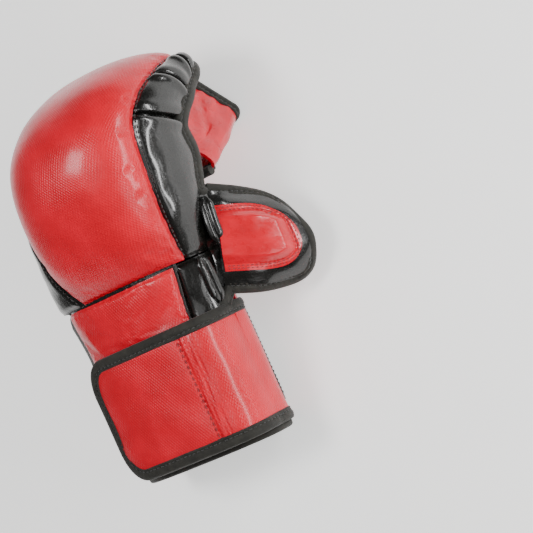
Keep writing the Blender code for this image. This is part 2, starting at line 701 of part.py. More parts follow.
def thumb_rim(rows):
    """Up one side of the hood, round its tip and back."""
    reach = 6.2
    middle = 0.5 * (SKIN + THUMB_FOAM + GAP + LINING)
    tip = rows[-1]
    places = [(-1.0, s) for s in rows[:-1]]
    places += [(r, tip) for r in steps(-1.0, 1.0, 8)]
    places += [(1.0, s) for s in reversed(rows[:-1])]
    path = []
    for r, s in places:
        sideways = (thumb(r, s) - thumb(r * 0.95, s)).normalized() * abs(r) ** 6
        forward = (thumb(r, s) - thumb(r, s - 0.03)).normalized() * (s / tip) ** 12
        outward = (sideways + forward).normalized()
        corner = 1.0 + 0.35 * min(sideways.length, forward.length)
        path.append(thumb(r, s) + normal(thumb, r, s) * middle + outward * reach * corner)
    return path


def make_thumb_loop(body):
    """An elastic band inside the hood that holds the thumb against the lining."""
    depth = SKIN + THUMB_FOAM + LINING + 2.0 * GAP
    outer = []
    inner = []
    turns = steps(0.0, math.pi, 10)
    for s in (0.34, 0.62):
        for turn in turns:
            for out, drop in ((outer, 20.0), (inner, 18.4)):
                wide = 16.5 if out is outer else 14.9
                centre = thumb(0.0, s)
                away = normal(thumb, 0.0, s)
                point = centre + away * (depth + 5.0 + drop * math.sin(turn))
                out.append(point + Vector((0.0, wide * math.cos(turn), 0.0)))
    count = len(turns)
    verts = outer + inner
    size = len(outer)
    faces = []
    for k in range(count - 1):
        faces.append((k, k + 1, count + k + 1, count + k))
        faces.append((size + k, size + count + k, size + count + k + 1, size + k + 1))
        faces.append((k, size + k, size + k + 1, k + 1))
        faces.append((count + k, count + k + 1, size + count + k + 1, size + count + k))
    for k in (0, count - 1):
        faces.append((k, count + k, size + count + k, size + k))
    solid("thumb_loop", verts, faces, FABRIC, body)


def make_web(body):
    """Two folded seam allowances that stand up between the thumb gusset and the hood."""
    tab_rows = steps(0.01, 0.16, 4)
    layer("web_tab_upper", hand, tab_rows, lambda v: steps(0.86, 0.93, 1),
          flat(7.0), flat(GAP), BLACK, body)
    layer("web_tab_lower", oval, steps(50.0, WRIST_SEAM_Y - 2.0, 3), lambda v: steps(74.0, 79.0, 1),
          flat(PANEL_THICK + 6.5), flat(PANEL_THICK + GAP), BLACK, body)


# ---- assembly ------------------------------------------------------------------------------------
def place_on_floor(frame):
    """Raise the fingers by the lean and stand the glove's box centred on the origin."""
    frame.rotation_euler = (math.radians(LEAN_DEG), 0.0, 0.0)
    bpy.context.view_layer.update()
    corners = []
    for item in bpy.data.objects:
        if item.type == "MESH":
            corners += [item.matrix_world @ v.co for v in item.data.vertices]
    low = Vector([min(c[k] for c in corners) for k in range(3)])
    high = Vector([max(c[k] for c in corners) for k in range(3)])
    frame.location = Vector((-(low.x + high.x) / 2, -(low.y + high.y) / 2, -low.z))
    bpy.context.view_layer.update()
    print("box mm", [round(v / MM, 2) for v in high - low])
    for item in bpy.data.objects:
        if item.type == "EMPTY":
            print(item.name, [round(v / MM, 3) for v in item.matrix_world.translation])


def main():
    clear_scene()
    frame = empty("glove_frame", (0, 0, 0))
    edge = oval(STRAP_EDGE_DEG, 0.0)
    away = normal(oval, STRAP_EDGE_DEG, 0.0)
    wrap = empty("strap_wrap_axis", edge + away * (REST + STRAP_THICK + 0.4), frame)
    fold = strap_surface(STRAP_FOLD_DEG, 0.0) + normal(oval, STRAP_FOLD_DEG, 0.0) * (STRAP_THICK + 0.4)
    peel = empty("strap_peel_axis", fold - wrap.location / MM, wrap)
    hood = empty("thumb_axis", THUMB_AXIS, frame)
    make_hand(frame)
    make_wrist(frame)
    make_strap_base(frame)
    make_label_panel(frame)
    make_palm(frame)
    make_loops(frame)
    make_web(frame)
    make_strap(wrap, peel)
    make_thumb(hood)
    place_on_floor(frame)


main()
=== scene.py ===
"""Looks of the padded left-hand sparring glove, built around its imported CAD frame.

The surfaces below are the glove's own, in millimetres in the glove's frame (+X thumb side, +Y fingers,
+Z back of the hand).  A grid of points on one of them becomes a sheet of coated fabric, lining or foam;
a path along an edge becomes a folded binding tape or a row of stitches.  world() takes them to the
frame in metres: the glove leans back by LEAN_DEG, as it does when it rests on its mouth and loops.
"""

import json
import math

import bpy
import numpy as np
from mathutils import Matrix, Vector

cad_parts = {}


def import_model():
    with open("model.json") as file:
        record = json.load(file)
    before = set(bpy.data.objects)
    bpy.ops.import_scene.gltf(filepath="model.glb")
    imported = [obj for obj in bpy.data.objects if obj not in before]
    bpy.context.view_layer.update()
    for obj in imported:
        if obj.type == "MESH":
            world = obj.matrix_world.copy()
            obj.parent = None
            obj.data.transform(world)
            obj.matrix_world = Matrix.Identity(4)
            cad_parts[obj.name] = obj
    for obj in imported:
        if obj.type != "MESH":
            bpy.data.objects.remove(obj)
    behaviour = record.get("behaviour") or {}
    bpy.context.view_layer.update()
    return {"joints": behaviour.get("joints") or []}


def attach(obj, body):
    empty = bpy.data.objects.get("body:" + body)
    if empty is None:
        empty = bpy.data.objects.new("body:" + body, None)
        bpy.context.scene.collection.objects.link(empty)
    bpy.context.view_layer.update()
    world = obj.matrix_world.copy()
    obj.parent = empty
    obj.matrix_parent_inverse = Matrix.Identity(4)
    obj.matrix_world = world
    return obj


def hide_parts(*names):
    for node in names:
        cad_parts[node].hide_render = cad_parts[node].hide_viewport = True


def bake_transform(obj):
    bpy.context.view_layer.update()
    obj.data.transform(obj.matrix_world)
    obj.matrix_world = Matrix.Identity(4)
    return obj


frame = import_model()
JOINTS = {joint["name"]: joint for joint in frame["joints"]}

# ---- driving dimensions, those of the CAD model --------------------------------------------------
LEAN_DEG = 13.2
THUMB_AXIS = np.array((54.0, 82.0, 28.0))
MOUTH_Y = -42.0
WRIST_SEAM_Y = 80.0
PALM_EDGE_Y = 110.0
CUFF_END_Y = 45.0
CUFF_X, SEAM_X = -20.0, -14.0
CUFF_HALF_WIDTH, SEAM_RADIAL, SEAM_ULNAR = 57.0, 57.0, 67.0
CUFF_TOP_Z, SEAM_TOP_Z, CUFF_BOTTOM_Z = 54.0, 56.0, 4.0
OVAL_POWER = 2.6
SLEEVE_REST = 0.8
LINING = 1.4
SKIN = 1.3
STRAP_LOW_Y, STRAP_HIGH_Y = -38.0, 39.0
STRAP_THICK = 2.6
STRAP_LIFT = 13.8
STRAP_EDGE_DEG, STRAP_FOLD_DEG, STRAP_TIP_DEG = 86.0, 28.0, -40.0
STRAP_TIP_ROUND = 20.0
PAD_HIGH, PAD_EDGE = 10.3, 5.0
PAD_FROM_DEG, PAD_TO_DEG = -52.0, 38.0
PANEL_THICK = 3.0
# crown Y, crown Z, lean of the section, centre X, half widths and drops on the thumb and outer sides
HAND_STATIONS = np.array([
    (80.0, 66.0, 0.0, -14.0, 60.0, 68.0, 32.0, 32.0),
    (112.0, 84.0, 0.0, -12.0, 67.0, 62.0, 50.0, 50.0),
    (147.0, 94.0, 6.0, -5.0, 66.0, 62.0, 66.0, 60.0),
    (179.0, 89.0, 20.0, 0.0, 64.0, 60.0, 60.0, 54.0),
    (200.0, 70.0, 36.0, 2.0, 65.0, 56.0, 52.0, 46.0),
    (211.0, 44.0, 52.0, 3.0, 65.0, 54.0, 42.0, 38.0),
    (215.0, 18.0, 68.0, 3.0, 64.0, 52.0, 30.0, 28.0),
    (213.0, -4.0, 85.0, 3.0, 62.0, 50.0, 20.0, 20.0),
    (204.0, -22.0, 100.0, 3.0, 51.0, 44.0, 12.0, 12.0),
])
ARCH_POWER = 0.8
THUMB_SEAM = 0.62
OUTER_SEAM_WRIST, OUTER_SEAM_FINGERS, OUTER_SEAM_REACH = 0.27, 0.80, 0.5
DOME_BULGE = 5.0
FOAM_CROWN, FOAM_EDGE = 16.0, 5.0
LOOP_TOP = np.array((127.0, 6.0))
LOOP_BOTTOM = np.array((153.0, -42.0))
LOOP_THICK = 2.2
LOOP_CORNER = 7.0
LOOP_LEG_TOP, LOOP_LEG_BOTTOM = 44.0, 45.0
FINGERS = {"index": (31.0, 57.5), "middle": (3.0, 30.0), "ring": (-25.0, 2.0), "little": (-50.0, -26.0)}
INDEX_LEG_LEAN = 15.0
THUMB_ROOT = np.array((58.0, 82.0, 31.0))
THUMB_LENGTH = 49.0
THUMB_HALF_WIDTH = 33.0
THUMB_DIP_DEG = 32.0
THUMB_BACKWARD = -18.0
THUMB_SIDE_DROP, THUMB_TIP_DROP = 14.0, 9.0
THUMB_FOAM = 6.0
STITCH_PITCH = 3.6
STITCH_PULL = 0.045        # how much each stitch draws the tape in, as a share of its thickness
PLEAT_SHARES = (0.43, 0.635, 0.79)   # where the gussets' three folds lie, wrist 0 to fingers 1
THUMB_PATCH_REACH = 0.88
HOOD_SET_BACK = 0.26         # how far the hood's wrist side reaches back, as a share of its length
WEB_TAB_DEG = (66.0, 74.0)   # the lower tab's place round the sleeve, hand end and wrist end
# limits round the sleeve in degrees, or along it in mm
PALM_TURNS, PALM_START_Y = (134.0, 254.0), 64.0
BAND_TURNS, BAND_HIGH_Y = (98.0, 253.0), 62.0
STRAP_BASE_TURNS = (STRAP_EDGE_DEG + 0.2, 262.0)
LOOP_TAPE_TURNS, LOOP_TAPE_YS = (-40.0, 20.0), (-30.0, 34.0)
HOOK_TAPE_TURNS, HOOK_TAPE_YS = (-30.0, 10.0), (-26.0, 30.0)
LABEL_TURNS, LABEL_YS = (120.0, 222.0), (-30.0, 36.0)
LABEL_FIELD_HALF_X, LABEL_FIELD_HALF_Y, LABEL_FIELD_Y = 19.0, 11.0, -8.0
TAPE_REACH = 0.6             # how far the strap's tapes stand off its edges
STRAP_EDGES = (("upper", STRAP_HIGH_Y + TAPE_REACH, 1.0), ("lower", STRAP_LOW_Y - TAPE_REACH, -1.0))


# ---- small helpers -------------------------------------------------------------------------------
def blend(a, b, share):
    return a + (b - a) * share


def smooth(share):
    share = np.clip(share, 0.0, 1.0)
    return share * share * (3.0 - 2.0 * share)


def bump_at(x, middle, width):
    return np.exp(-((x - middle) / width) ** 2)


def unit(vectors):
    return vectors / np.maximum(np.linalg.norm(vectors, axis=-1, keepdims=True), 1e-9)


def catmull(a, b, c, d, t):
    """Cubic curve from b to c whose ends head along a to c and b to d."""
    return 0.5 * (2 * b + (c - a) * t + (2 * a - 5 * b + 4 * c - d) * t ** 2
                  + (3 * b - a - 3 * c + d) * t ** 3)


def along_path(path):
    """Distance travelled at each point of a path."""
    return np.concatenate([[0.0], np.cumsum(np.linalg.norm(np.diff(path, axis=0), axis=1))])


def quads(index):
    """The faces of a grid of vertex numbers."""
    return np.stack([index[:-1, :-1], index[:-1, 1:], index[1:, 1:], index[1:, :-1]], -1).reshape(-1, 4)


def place_in_scene(name, data):
    made = bpy.data.objects.new(name, data)
    bpy.context.scene.collection.objects.link(made)
    return made


def grid(u_low, u_high, v_low, v_high, columns, rows):
    """Two arrays, rows by columns, of places evenly spread between the limits."""
    return np.meshgrid(np.linspace(u_low, u_high, columns), np.linspace(v_low, v_high, rows))


def waves(points, length, seed, count=7):
    """Smooth, repeatable unevenness of about -1 to 1 whose features are `length` millimetres across."""
    rng = np.random.default_rng(seed)
    total = np.zeros(points.shape[:-1])
    for _ in range(count):
        direction = unit(rng.normal(size=points.shape[-1]))
        pace = 2.0 * math.pi / length * rng.uniform(0.6, 1.5)
        total += np.sin(points @ direction * pace + rng.uniform(0.0, 2.0 * math.pi))
    return total / math.sqrt(count * 2.0)


LEAN = math.radians(LEAN_DEG)
TURN = np.array(((1.0, 0.0, 0.0),
                 (0.0, math.cos(LEAN), -math.sin(LEAN)),
                 (0.0, math.sin(LEAN), math.cos(LEAN))))
SHIFT = np.array(JOINTS["thumb_flex"]["pos_m"]) - TURN @ THUMB_AXIS * 0.001


def world(points):
    """Glove millimetres to metres in the frame."""
    return np.asarray(points) @ TURN.T * 0.001 + SHIFT


# ---- surfaces ------------------------------------------------------------------------------------
def oval(turn_deg, y):
    """The wrist sleeve's outside: turn 0 is the back, 90 the thumb side, 180 the palm."""
    share = smooth((y - CUFF_END_Y) / (WRIST_SEAM_Y - CUFF_END_Y))
    turn = np.radians(turn_deg)
    sine, cosine = np.sin(turn), np.cos(turn)
    side = np.where(sine > 0, SEAM_RADIAL, SEAM_ULNAR)
    width = blend(CUFF_HALF_WIDTH, side, share)
    top = blend(CUFF_TOP_Z, SEAM_TOP_Z, share)
    middle = 0.5 * (CUFF_TOP_Z + CUFF_BOTTOM_Z)
    height = np.where(cosine > 0, top - middle, middle - CUFF_BOTTOM_Z)
    power = 2.0 / OVAL_POWER
    x = blend(CUFF_X, SEAM_X, share) + width * np.copysign(np.abs(sine) ** power, sine)
    z = middle + height * np.copysign(np.abs(cosine) ** power, cosine)
    return np.stack([x, y + 0.0 * x, z], -1)


def station(share):
    """Catmull-Rom through HAND_STATIONS."""
    last = len(HAND_STATIONS) - 1
    before = 2 * HAND_STATIONS[0] - HAND_STATIONS[1]
    after = 2 * HAND_STATIONS[-1] - HAND_STATIONS[-2]
    knots = np.vstack([before, HAND_STATIONS, after])
    place = np.clip(share, -0.02, 1.02) * last
    k = np.clip(np.floor(place).astype(int), 0, last - 1)
    t = (place - k)[..., None]
    return catmull(knots[k], knots[k + 1], knots[k + 2], knots[k + 3], t)


def hand(u, v):
    """The back of the hand: u from -1 outer edge to 1 thumb edge, v from the wrist to the fingers."""
    u, v = np.broadcast_arrays(np.asarray(u, float), np.asarray(v, float))
    y, z, lean, x, radial, ulnar, drop_radial, drop_ulnar = np.moveaxis(station(v), -1, 0)
    turn = u * math.pi / 2.0
    sine = np.abs(np.sin(turn)) ** ARCH_POWER
    fall = 1.0 - np.maximum(np.cos(turn), 0.0) ** ARCH_POWER
    width = np.where(u > 0, radial, -ulnar)
    drop = np.where(u > 0, drop_radial, drop_ulnar) * fall
    lean = np.radians(lean)
    return np.stack([x + width * sine, y - np.sin(lean) * drop, z - np.cos(lean) * drop], -1)


def hand_edge(v):
    return 0.985 - 0.45 * np.maximum(0.0, (v - 0.78) / 0.22) ** 2.5


def outer_seam(v):
    swing = np.clip(v / OUTER_SEAM_REACH, 0.0, 1.0) ** 0.8
    return -blend(OUTER_SEAM_WRIST, OUTER_SEAM_FINGERS, swing) * hand_edge(v)


def thumb_seam(v):
    return THUMB_SEAM * hand_edge(v)


def dome_rise(u, v):
    """The red cover swells between its seams."""
    across = np.clip((u - outer_seam(v)) / (thumb_seam(v) - outer_seam(v)), 0.0, 1.0)
    side = 1.0 - np.abs(2.0 * across - 1.0) ** 3
    along = 1.0 - np.abs(2.0 * np.clip(v, 0.0, 1.0) - 1.0) ** 6
    return DOME_BULGE * side * along


def lining_depth(u, v):
    along = 1.0 - np.abs(2.0 * np.clip(v, 0.0, 1.0) - 1.0) ** 5
    side = 1.0 - np.abs(u) ** 3
    return blend(FOAM_EDGE, FOAM_CROWN, np.maximum(along * side, 0.0))


def thumb(r, s):
    """The thumb hood: r from -1 to 1 across, s from the base to the tip.  Its normal points inward."""
    r, s = np.broadcast_arrays(np.asarray(r, float), np.asarray(s, float))
    dip = math.radians(THUMB_DIP_DEG)
    along = np.array((math.cos(dip), 0.0, -math.sin(dip)))
    face = np.array((math.sin(dip), 0.0, math.cos(dip)))
    beyond = np.maximum(s, 0.0)
    narrow = np.maximum(1.0 - beyond ** 3.2, 0.0) ** 0.55
    reach = THUMB_LENGTH * (s - 0.06 * s * r * r)
    width = THUMB_HALF_WIDTH * blend(0.34, 1.0, narrow)
    side_fall = blend(5.0, THUMB_SIDE_DROP, smooth(1.6 * s)) * (1.0 - 0.75 * beyond ** 4)
    fall = side_fall * np.abs(r) ** 2.4 + THUMB_TIP_DROP * beyond ** 2.5
    sway = np.zeros(r.shape + (3,))
    sway[..., 1] = r * width + THUMB_BACKWARD * s
    return THUMB_ROOT + along * reach[..., None] + sway - face * fall[..., None]


def palm(turn, y):
    """The palm side carries the wrist's lower half on towards the fingers."""
    base = oval(turn, np.minimum(y, WRIST_SEAM_Y))
    base[..., 1] = y
    return base


def normals(surface, u, v):
    step = 0.01
    along_u = surface(u + step, v) - surface(u - step, v)
    along_v = surface(u, v + step) - surface(u, v - step)
    return unit(np.cross(along_u, along_v))


def strap_lift(turn):
    return blend(SLEEVE_REST, STRAP_LIFT, smooth((STRAP_EDGE_DEG - turn) / (STRAP_EDGE_DEG - 40.0)))


def strap_surface(turn, y):
    """The strap's underside, from its root on the thumb side over the back of the wrist."""
    return oval(turn, y) + normals(oval, turn, y) * np.asarray(strap_lift(turn))[..., None]


def tip_margin(turn):
    """How far the rounded free end draws the strap's edges in."""
    arc = np.radians(turn - STRAP_TIP_DEG) * (CUFF_HALF_WIDTH + STRAP_LIFT)
    inside = np.maximum(STRAP_TIP_ROUND ** 2 - (STRAP_TIP_ROUND - arc) ** 2, 0.0)
    return np.where(arc >= STRAP_TIP_ROUND, 0.0, STRAP_TIP_ROUND - np.sqrt(inside))


# ---- grids to meshes -----------------------------------------------------------------------------
def lengths(points, axis):
    """Distance travelled along an axis of a grid of points, from its first row or column."""
    steps = np.linalg.norm(np.diff(points, axis=axis), axis=-1)
    first = np.zeros_like(np.take(steps, [0], axis=axis))
    return np.cumsum(np.concatenate([first, steps], axis=axis), axis=axis)


def border_distances(points):
    """For each point: millimetres from the left, right, first and last border of its grid."""
    across = lengths(points, 1)
    along = lengths(points, 0)
    return across, across[:, -1:] - across, along, along[-1:] - along


def nearest_border(points):
    return np.minimum.reduce(border_distances(points))


def grid_normals(points):
    return unit(np.cross(np.gradient(points, axis=1), np.gradient(points, axis=0)))


def resample(points, rows, columns):
    """The same grid with more rows and columns, by cubic interpolation."""
    for axis, count in ((0, rows), (1, columns)):
        size = points.shape[axis]
        place = np.linspace(0.0, size - 1.0, count)
        k = np.clip(np.floor(place).astype(int), 0, size - 2)
        shape = [1, 1, 1]
        shape[axis] = count
        t = (place - k).reshape(shape)
        around = [np.take(points, np.clip(k + step, 0, size - 1), axis=axis) for step in (-1, 0, 1, 2)]
        points = catmull(*around, t)
    return points


def make_mesh(name, points, faces, texture, sharp_deg):
    """A mesh object whose UV map holds millimetres of cloth."""
    mesh = bpy.data.meshes.new(name)
    flat = world(points)
    corners = flat[faces]
    volume = np.einsum("ij,ij->i", corners[:, 0], np.cross(corners[:, 1], corners[:, 2])).sum()
    volume += np.einsum("ij,ij->i", corners[:, 0], np.cross(corners[:, 2], corners[:, 3])).sum()
    if volume < 0.0:
        faces = faces[:, ::-1]
    mesh.from_pydata(flat, [], faces)
    layer = mesh.uv_layers.new(name="cloth_mm")
    layer.data.foreach_set("uv", texture[faces.reshape(-1)].astype(np.float32).reshape(-1))
    mesh.validate()
    mesh.shade_smooth()
    mesh.set_sharp_from_angle(angle=math.radians(sharp_deg))
    return place_in_scene(name, mesh)


def shell(name, outside, inside, wrap=False, sharp_deg=55.0):
    """A closed sheet between two grids of points, its edges joined by a narrow wall."""
    rows, columns = outside.shape[:2]
    index = np.arange(rows * columns).reshape(rows, columns)
    if wrap:
        index = np.concatenate([index, index[:, :1]], axis=1)
    under = index + rows * columns
    faces = [quads(index), quads(under)[:, [0, 3, 2, 1]]]
    borders = [(index[0], under[0], 1), (index[-1], under[-1], -1)]
    if not wrap:
        borders += [(index[:, -1], under[:, -1], 1), (index[:, 0], under[:, 0], -1)]
    for upper, lower, way in borders:
        wall = np.stack([upper[:-1], lower[:-1], lower[1:], upper[1:]], -1)
        faces.append(wall[:, ::way])
    middle = outside.shape[1] // 2
    across = lengths(outside, 1)
    across = across - across[:, middle:middle + 1]
    along = np.repeat(lengths(outside, 0)[:, middle:middle + 1], columns, axis=1)
    texture = np.stack([across, along], -1).reshape(-1, 2)
    points = np.concatenate([outside.reshape(-1, 3), inside.reshape(-1, 3)])
    return make_mesh(name, points, np.concatenate(faces), np.concatenate([texture, texture]), sharp_deg)


def skin(name, base, away, offset):
    """A leather skin whose outer face stands off a grid of points."""
    outside = base + away * offset[..., None]
    return shell(name, outside, outside - away * SKIN)


def layer(name, surface, u, v, outer, inner, wrap=False):
    """A sheet between two offsets of a surface."""
    base = surface(u, v)
    away = normals(surface, u, v)
    outer = np.broadcast_to(outer, u.shape)[..., None]
    inner = np.broadcast_to(inner, u.shape)[..., None]
    return shell(name, base + away * outer, base + away * inner, wrap)


def resample_path(points, count, closed=False):
    """Evenly spaced points of a Catmull-Rom curve through the given ones."""
    points = np.asarray(points, float)
    ends = (points[-1:], points[:2]) if closed else (2 * points[:1] - points[1:2],
                                                      2 * points[-1:] - points[-2:-1])
    knots = np.concatenate([ends[0], points, ends[1]])
    fine = []
    for k in range(1, len(knots) - 2):
        t = np.linspace(0.0, 1.0, 24, endpoint=False)[:, None]
        fine.append(catmull(knots[k - 1], knots[k], knots[k + 1], knots[k + 2], t))
    fine = np.concatenate(fine + [knots[-2:-1]])
    travelled = along_path(fine)
    places = np.linspace(0.0, travelled[-1], count, endpoint=not closed)
    return np.stack([np.interp(places, travelled, fine[:, k]) for k in range(3)], -1)


def tape_section(half_width, half_thick, groove_at=None, groove_deep=0.95, count=72):
    """Cross-section of a folded tape: x out from the cloth's edge, y through its thickness."""
    turn = np.linspace(0.0, 2.0 * math.pi, count, endpoint=False)
    x = half_width * np.copysign(np.abs(np.cos(turn)) ** 0.72, np.cos(turn))
    y = half_thick * np.copysign(np.abs(np.sin(turn)) ** 0.72, np.sin(turn))
    if groove_at is not None:
        y = y - np.sign(y) * groove_deep * bump_at(x, groove_at, 0.85)
    return np.stack([x, y], -1)


def sweep(name, path, away, section, closed=False, lumps=0.05, seed=1, groove=None, scale=1.0):
    """A tape along a path.  away is the cloth's normal there; the section's x points off the edge."""
    count = len(path)
    ahead = np.roll(path, -1, axis=0) - np.roll(path, 1, axis=0)
    if not closed:
        ahead = np.gradient(path, axis=0)
    along = unit(ahead)
    up = unit(away - along * np.sum(away * along, axis=1, keepdims=True))
    side = np.cross(along, up)
    travelled = along_path(path)
    pucker = np.repeat(1.0 + lumps * waves(path, 26.0, seed)[:, None], len(section), axis=1)
    if groove is not None:
        pull = STITCH_PULL * np.cos(2.0 * math.pi * travelled / STITCH_PITCH)
        pucker = pucker + pull[:, None] * bump_at(section[:, 0], groove, 1.8)[None]
    scale = np.broadcast_to(scale, (count,))[:, None, None]
    rings = path[:, None] + side[:, None] * section[None, :, :1] * scale
    rings = rings + up[:, None] * (section[None, :, 1:] * pucker[..., None]) * scale
    sides = len(section)
    index = np.arange(count * sides).reshape(count, sides)
    index = np.concatenate([index, index[:, :1]], axis=1)
    if closed:
        index = np.concatenate([index, index[:1]])
    faces = quads(index)
    points = rings.reshape(-1, 3)
    texture = np.stack(np.broadcast_arrays(along_path(section)[None], travelled[:, None]), -1).reshape(-1, 2)
    if not closed:
        extra = np.stack([path[0], path[-1]])
        points = np.concatenate([points, extra])
        texture = np.concatenate([texture, [[0.0, 0.0], [0.0, travelled[-1]]]])
        start, end = count * sides, count * sides + 1
        for ring, centre, way in ((index[0], start, 1), (index[-1], end, -1)):
            halves = np.arange(0, sides, 2)
            fan = np.stack([np.full(len(halves), centre), ring[halves + 2], ring[halves + 1],
                            ring[halves]], -1)
            faces = np.concatenate([faces, fan[:, ::way]])
    return make_mesh(name, points, faces, texture, 50.0)


def stitch_row(name, path, away, length=2.5, radius=0.42, lift=0.1, pitch=STITCH_PITCH):
    """A row of threads lying along a path, each dipping into the cloth at both ends."""
    travelled = along_path(path)
    starts = np.arange(0.5 * pitch, travelled[-1] - 0.5 * pitch, pitch)
    rings, sides = 6, 6
    share = np.linspace(-1.0, 1.0, rings)
    thick = radius * np.sqrt(np.maximum(1.0 - share ** 4, 0.03))
    turn = 2.0 * math.pi * np.arange(sides) / sides
    verts, faces, texture = [], [], []
    for k, middle in enumerate(starts):
        places = middle + share * 0.5 * length
        centre = np.stack([np.interp(places, travelled, path[:, i]) for i in range(3)], -1)
        up = unit(np.stack([np.interp(places, travelled, away[:, i]) for i in range(3)], -1))
        along = unit(np.gradient(centre, axis=0))
        side = unit(np.cross(along, up))
        centre = centre + up * (lift - 0.8 * radius * share[:, None] ** 4)
        ring = centre[:, None] + (side[:, None] * np.cos(turn)[None, :, None]
                                  + up[:, None] * np.sin(turn)[None, :, None]) * thick[:, None, None]
        index = np.arange(rings * sides).reshape(rings, sides) + k * rings * sides
        index = np.concatenate([index, index[:, :1]], axis=1)
        faces.append(quads(index))
        for end, way in ((index[0, :-1], 1), (index[-1, :-1], -1)):
            faces.append(np.array([end[[0, 3, 2, 1]][::way], end[[0, 5, 4, 3]][::way]]))
        verts.append(ring.reshape(-1, 3))
        texture.append(np.stack(np.broadcast_arrays(turn[None] * radius, places[:, None]),
                                -1).reshape(-1, 2))
    return make_mesh(name, np.concatenate(verts), np.concatenate(faces), np.concatenate(texture), 60.0)


CLOTH_STEPS = 20
CLOTH_SETTINGS = {
    "quality": 6, "mass": 0.15, "tension_stiffness": 25.0, "compression_stiffness": 25.0,
    "shear_stiffness": 12.0, "bending_stiffness": 0.6, "air_damping": 4.0, "use_pressure": True,
    "uniform_pressure_force": 3.0, "shrink_min": -0.002, "vertex_group_mass": "held",
}


def inflate(points, cap):
    """Cloth simulation of one sheet held along its borders and blown outward; returns the new grid."""
    rows, columns = points.shape[:2]
    mesh = bpy.data.meshes.new("inflating")
    index = np.arange(rows * columns).reshape(rows, columns)
    mesh.from_pydata(points.reshape(-1, 3) * 0.001, [], quads(index))
    sheet = place_in_scene("inflating", mesh)
    held = np.ones((rows, columns), bool)
    held[1:-1, 1:-1] = False
    group = sheet.vertex_groups.new(name="held")
    group.add([int(k) for k in index[held]], 1.0, "REPLACE")
    cloth = sheet.modifiers.new("cloth", "CLOTH")
    for setting, value in CLOTH_SETTINGS.items():
        setattr(cloth.settings, setting, value)
    cloth.settings.effector_weights.gravity = 0.0
    cloth.collision_settings.use_collision = False
    cloth.point_cache.frame_start = 1
    cloth.point_cache.frame_end = CLOTH_STEPS
    scene = bpy.context.scene
    for step in range(1, CLOTH_STEPS + 1):
        scene.frame_set(step)
    evaluated = sheet.evaluated_get(bpy.context.evaluated_depsgraph_get())
    moved = np.zeros(rows * columns * 3, np.float32)
    evaluated.data.vertices.foreach_get("co", moved)
    moved = moved.reshape(rows, columns, 3).astype(float) * 1000.0
    scene.frame_set(1)
    bpy.data.objects.remove(sheet)
    bpy.data.meshes.remove(mesh)
    travel = moved - points
    size = np.linalg.norm(travel, axis=-1, keepdims=True)
    return points + travel * np.minimum(1.0, cap / np.maximum(size, 1e-6))


# ---- materials -----------------------------------------------------------------------------------
class Cloth:
    """A Principled material with its procedural colour, roughness and relief, all in millimetres."""

    def __init__(self, name, roughness=0.5, **sockets):
        self.material = bpy.data.materials.new(name)
        self.material.use_nodes = True
        self.tree = self.material.node_tree
        self.shader = self.tree.nodes["Principled BSDF"]
        self.shader.inputs["Roughness"].default_value = roughness
        for socket, value in sockets.items():
            self.shader.inputs[socket.replace("_", " ")].default_value = value
        self.place = self.node("ShaderNodeUVMap", uv_map="cloth_mm").outputs[0]

    def node(self, kind, **settings):
        made = self.tree.nodes.new(kind)
        for key, value in settings.items():
            setattr(made, key, value)
        return made

    def feed(self, socket, value):
        if isinstance(value, (int, float, tuple)):
            socket.default_value = value
        else:
            self.tree.links.new(value, socket)

    def math(self, operation, *values):
        made = self.node("ShaderNodeMath", operation=operation)
        for k, value in enumerate(values):
            self.feed(made.inputs[k], value)
        return made.outputs[0]

    def noise(self, size_mm, detail=3.0, stretch=(1.0, 1.0)):
        """Noise of about 0 to 1 whose features are size_mm across, drawn out by stretch."""
        scaled = self.node("ShaderNodeMapping")
        scaled.inputs["Scale"].default_value = (1.0 / stretch[0], 1.0 / stretch[1], 1.0)
        self.feed(scaled.inputs["Vector"], self.place)
        made = self.node("ShaderNodeTexNoise", noise_dimensions="2D")
        made.inputs["Scale"].default_value = 1.0 / size_mm
        made.inputs["Detail"].default_value = detail
        self.feed(made.inputs["Vector"], scaled.outputs[0])
        return made.outputs["Fac"]

    def cells(self, size_mm):
        made = self.node("ShaderNodeTexVoronoi", voronoi_dimensions="2D", feature="F1")
        made.inputs["Scale"].default_value = 1.0 / size_mm
        self.feed(made.inputs["Vector"], self.place)
        return made.outputs["Distance"]

    def ridges(self, x_weight, y_weight, pitch_mm):
        """Parallel rounded ridges, 0 in the groove and 1 on top."""
        parts = self.node("ShaderNodeSeparateXYZ")
        self.feed(parts.inputs[0], self.place)
        across = self.math("ADD", self.math("MULTIPLY", parts.outputs[0], x_weight),
                           self.math("MULTIPLY", parts.outputs[1], y_weight))
        return self.math("ABSOLUTE", self.math("SINE", self.math("MULTIPLY", across, math.pi / pitch_mm)))

    def colours(self, share, *stops):
        """Colour by share: each stop is a place and a linear colour."""
        ramp = self.node("ShaderNodeValToRGB")
        elements = ramp.color_ramp.elements
        while len(elements) < len(stops):
            elements.new(0.5)
        for element, (place, colour) in zip(elements, stops):
            element.position = place
            element.color = (*colour, 1.0)
        self.feed(ramp.inputs[0], share)
        self.feed(self.shader.inputs["Base Color"], ramp.outputs[0])

    def uneven_roughness(self, share, low, high):
        spread = self.math("MULTIPLY_ADD", share, high - low, low)
        self.feed(self.shader.inputs["Roughness"], spread)

    def relief(self, *parts):
        """Chained bumps, each a height and its depth in millimetres."""
        last = None
        for height, deep in parts:
            made = self.node("ShaderNodeBump")
            made.inputs["Distance"].default_value = deep * 0.001
            made.inputs["Strength"].default_value = 1.0
            self.feed(made.inputs["Height"], height)
            if last is not None:
                self.feed(made.inputs["Normal"], last)
            last = made.outputs[0]
        self.feed(self.shader.inputs["Normal"], last)


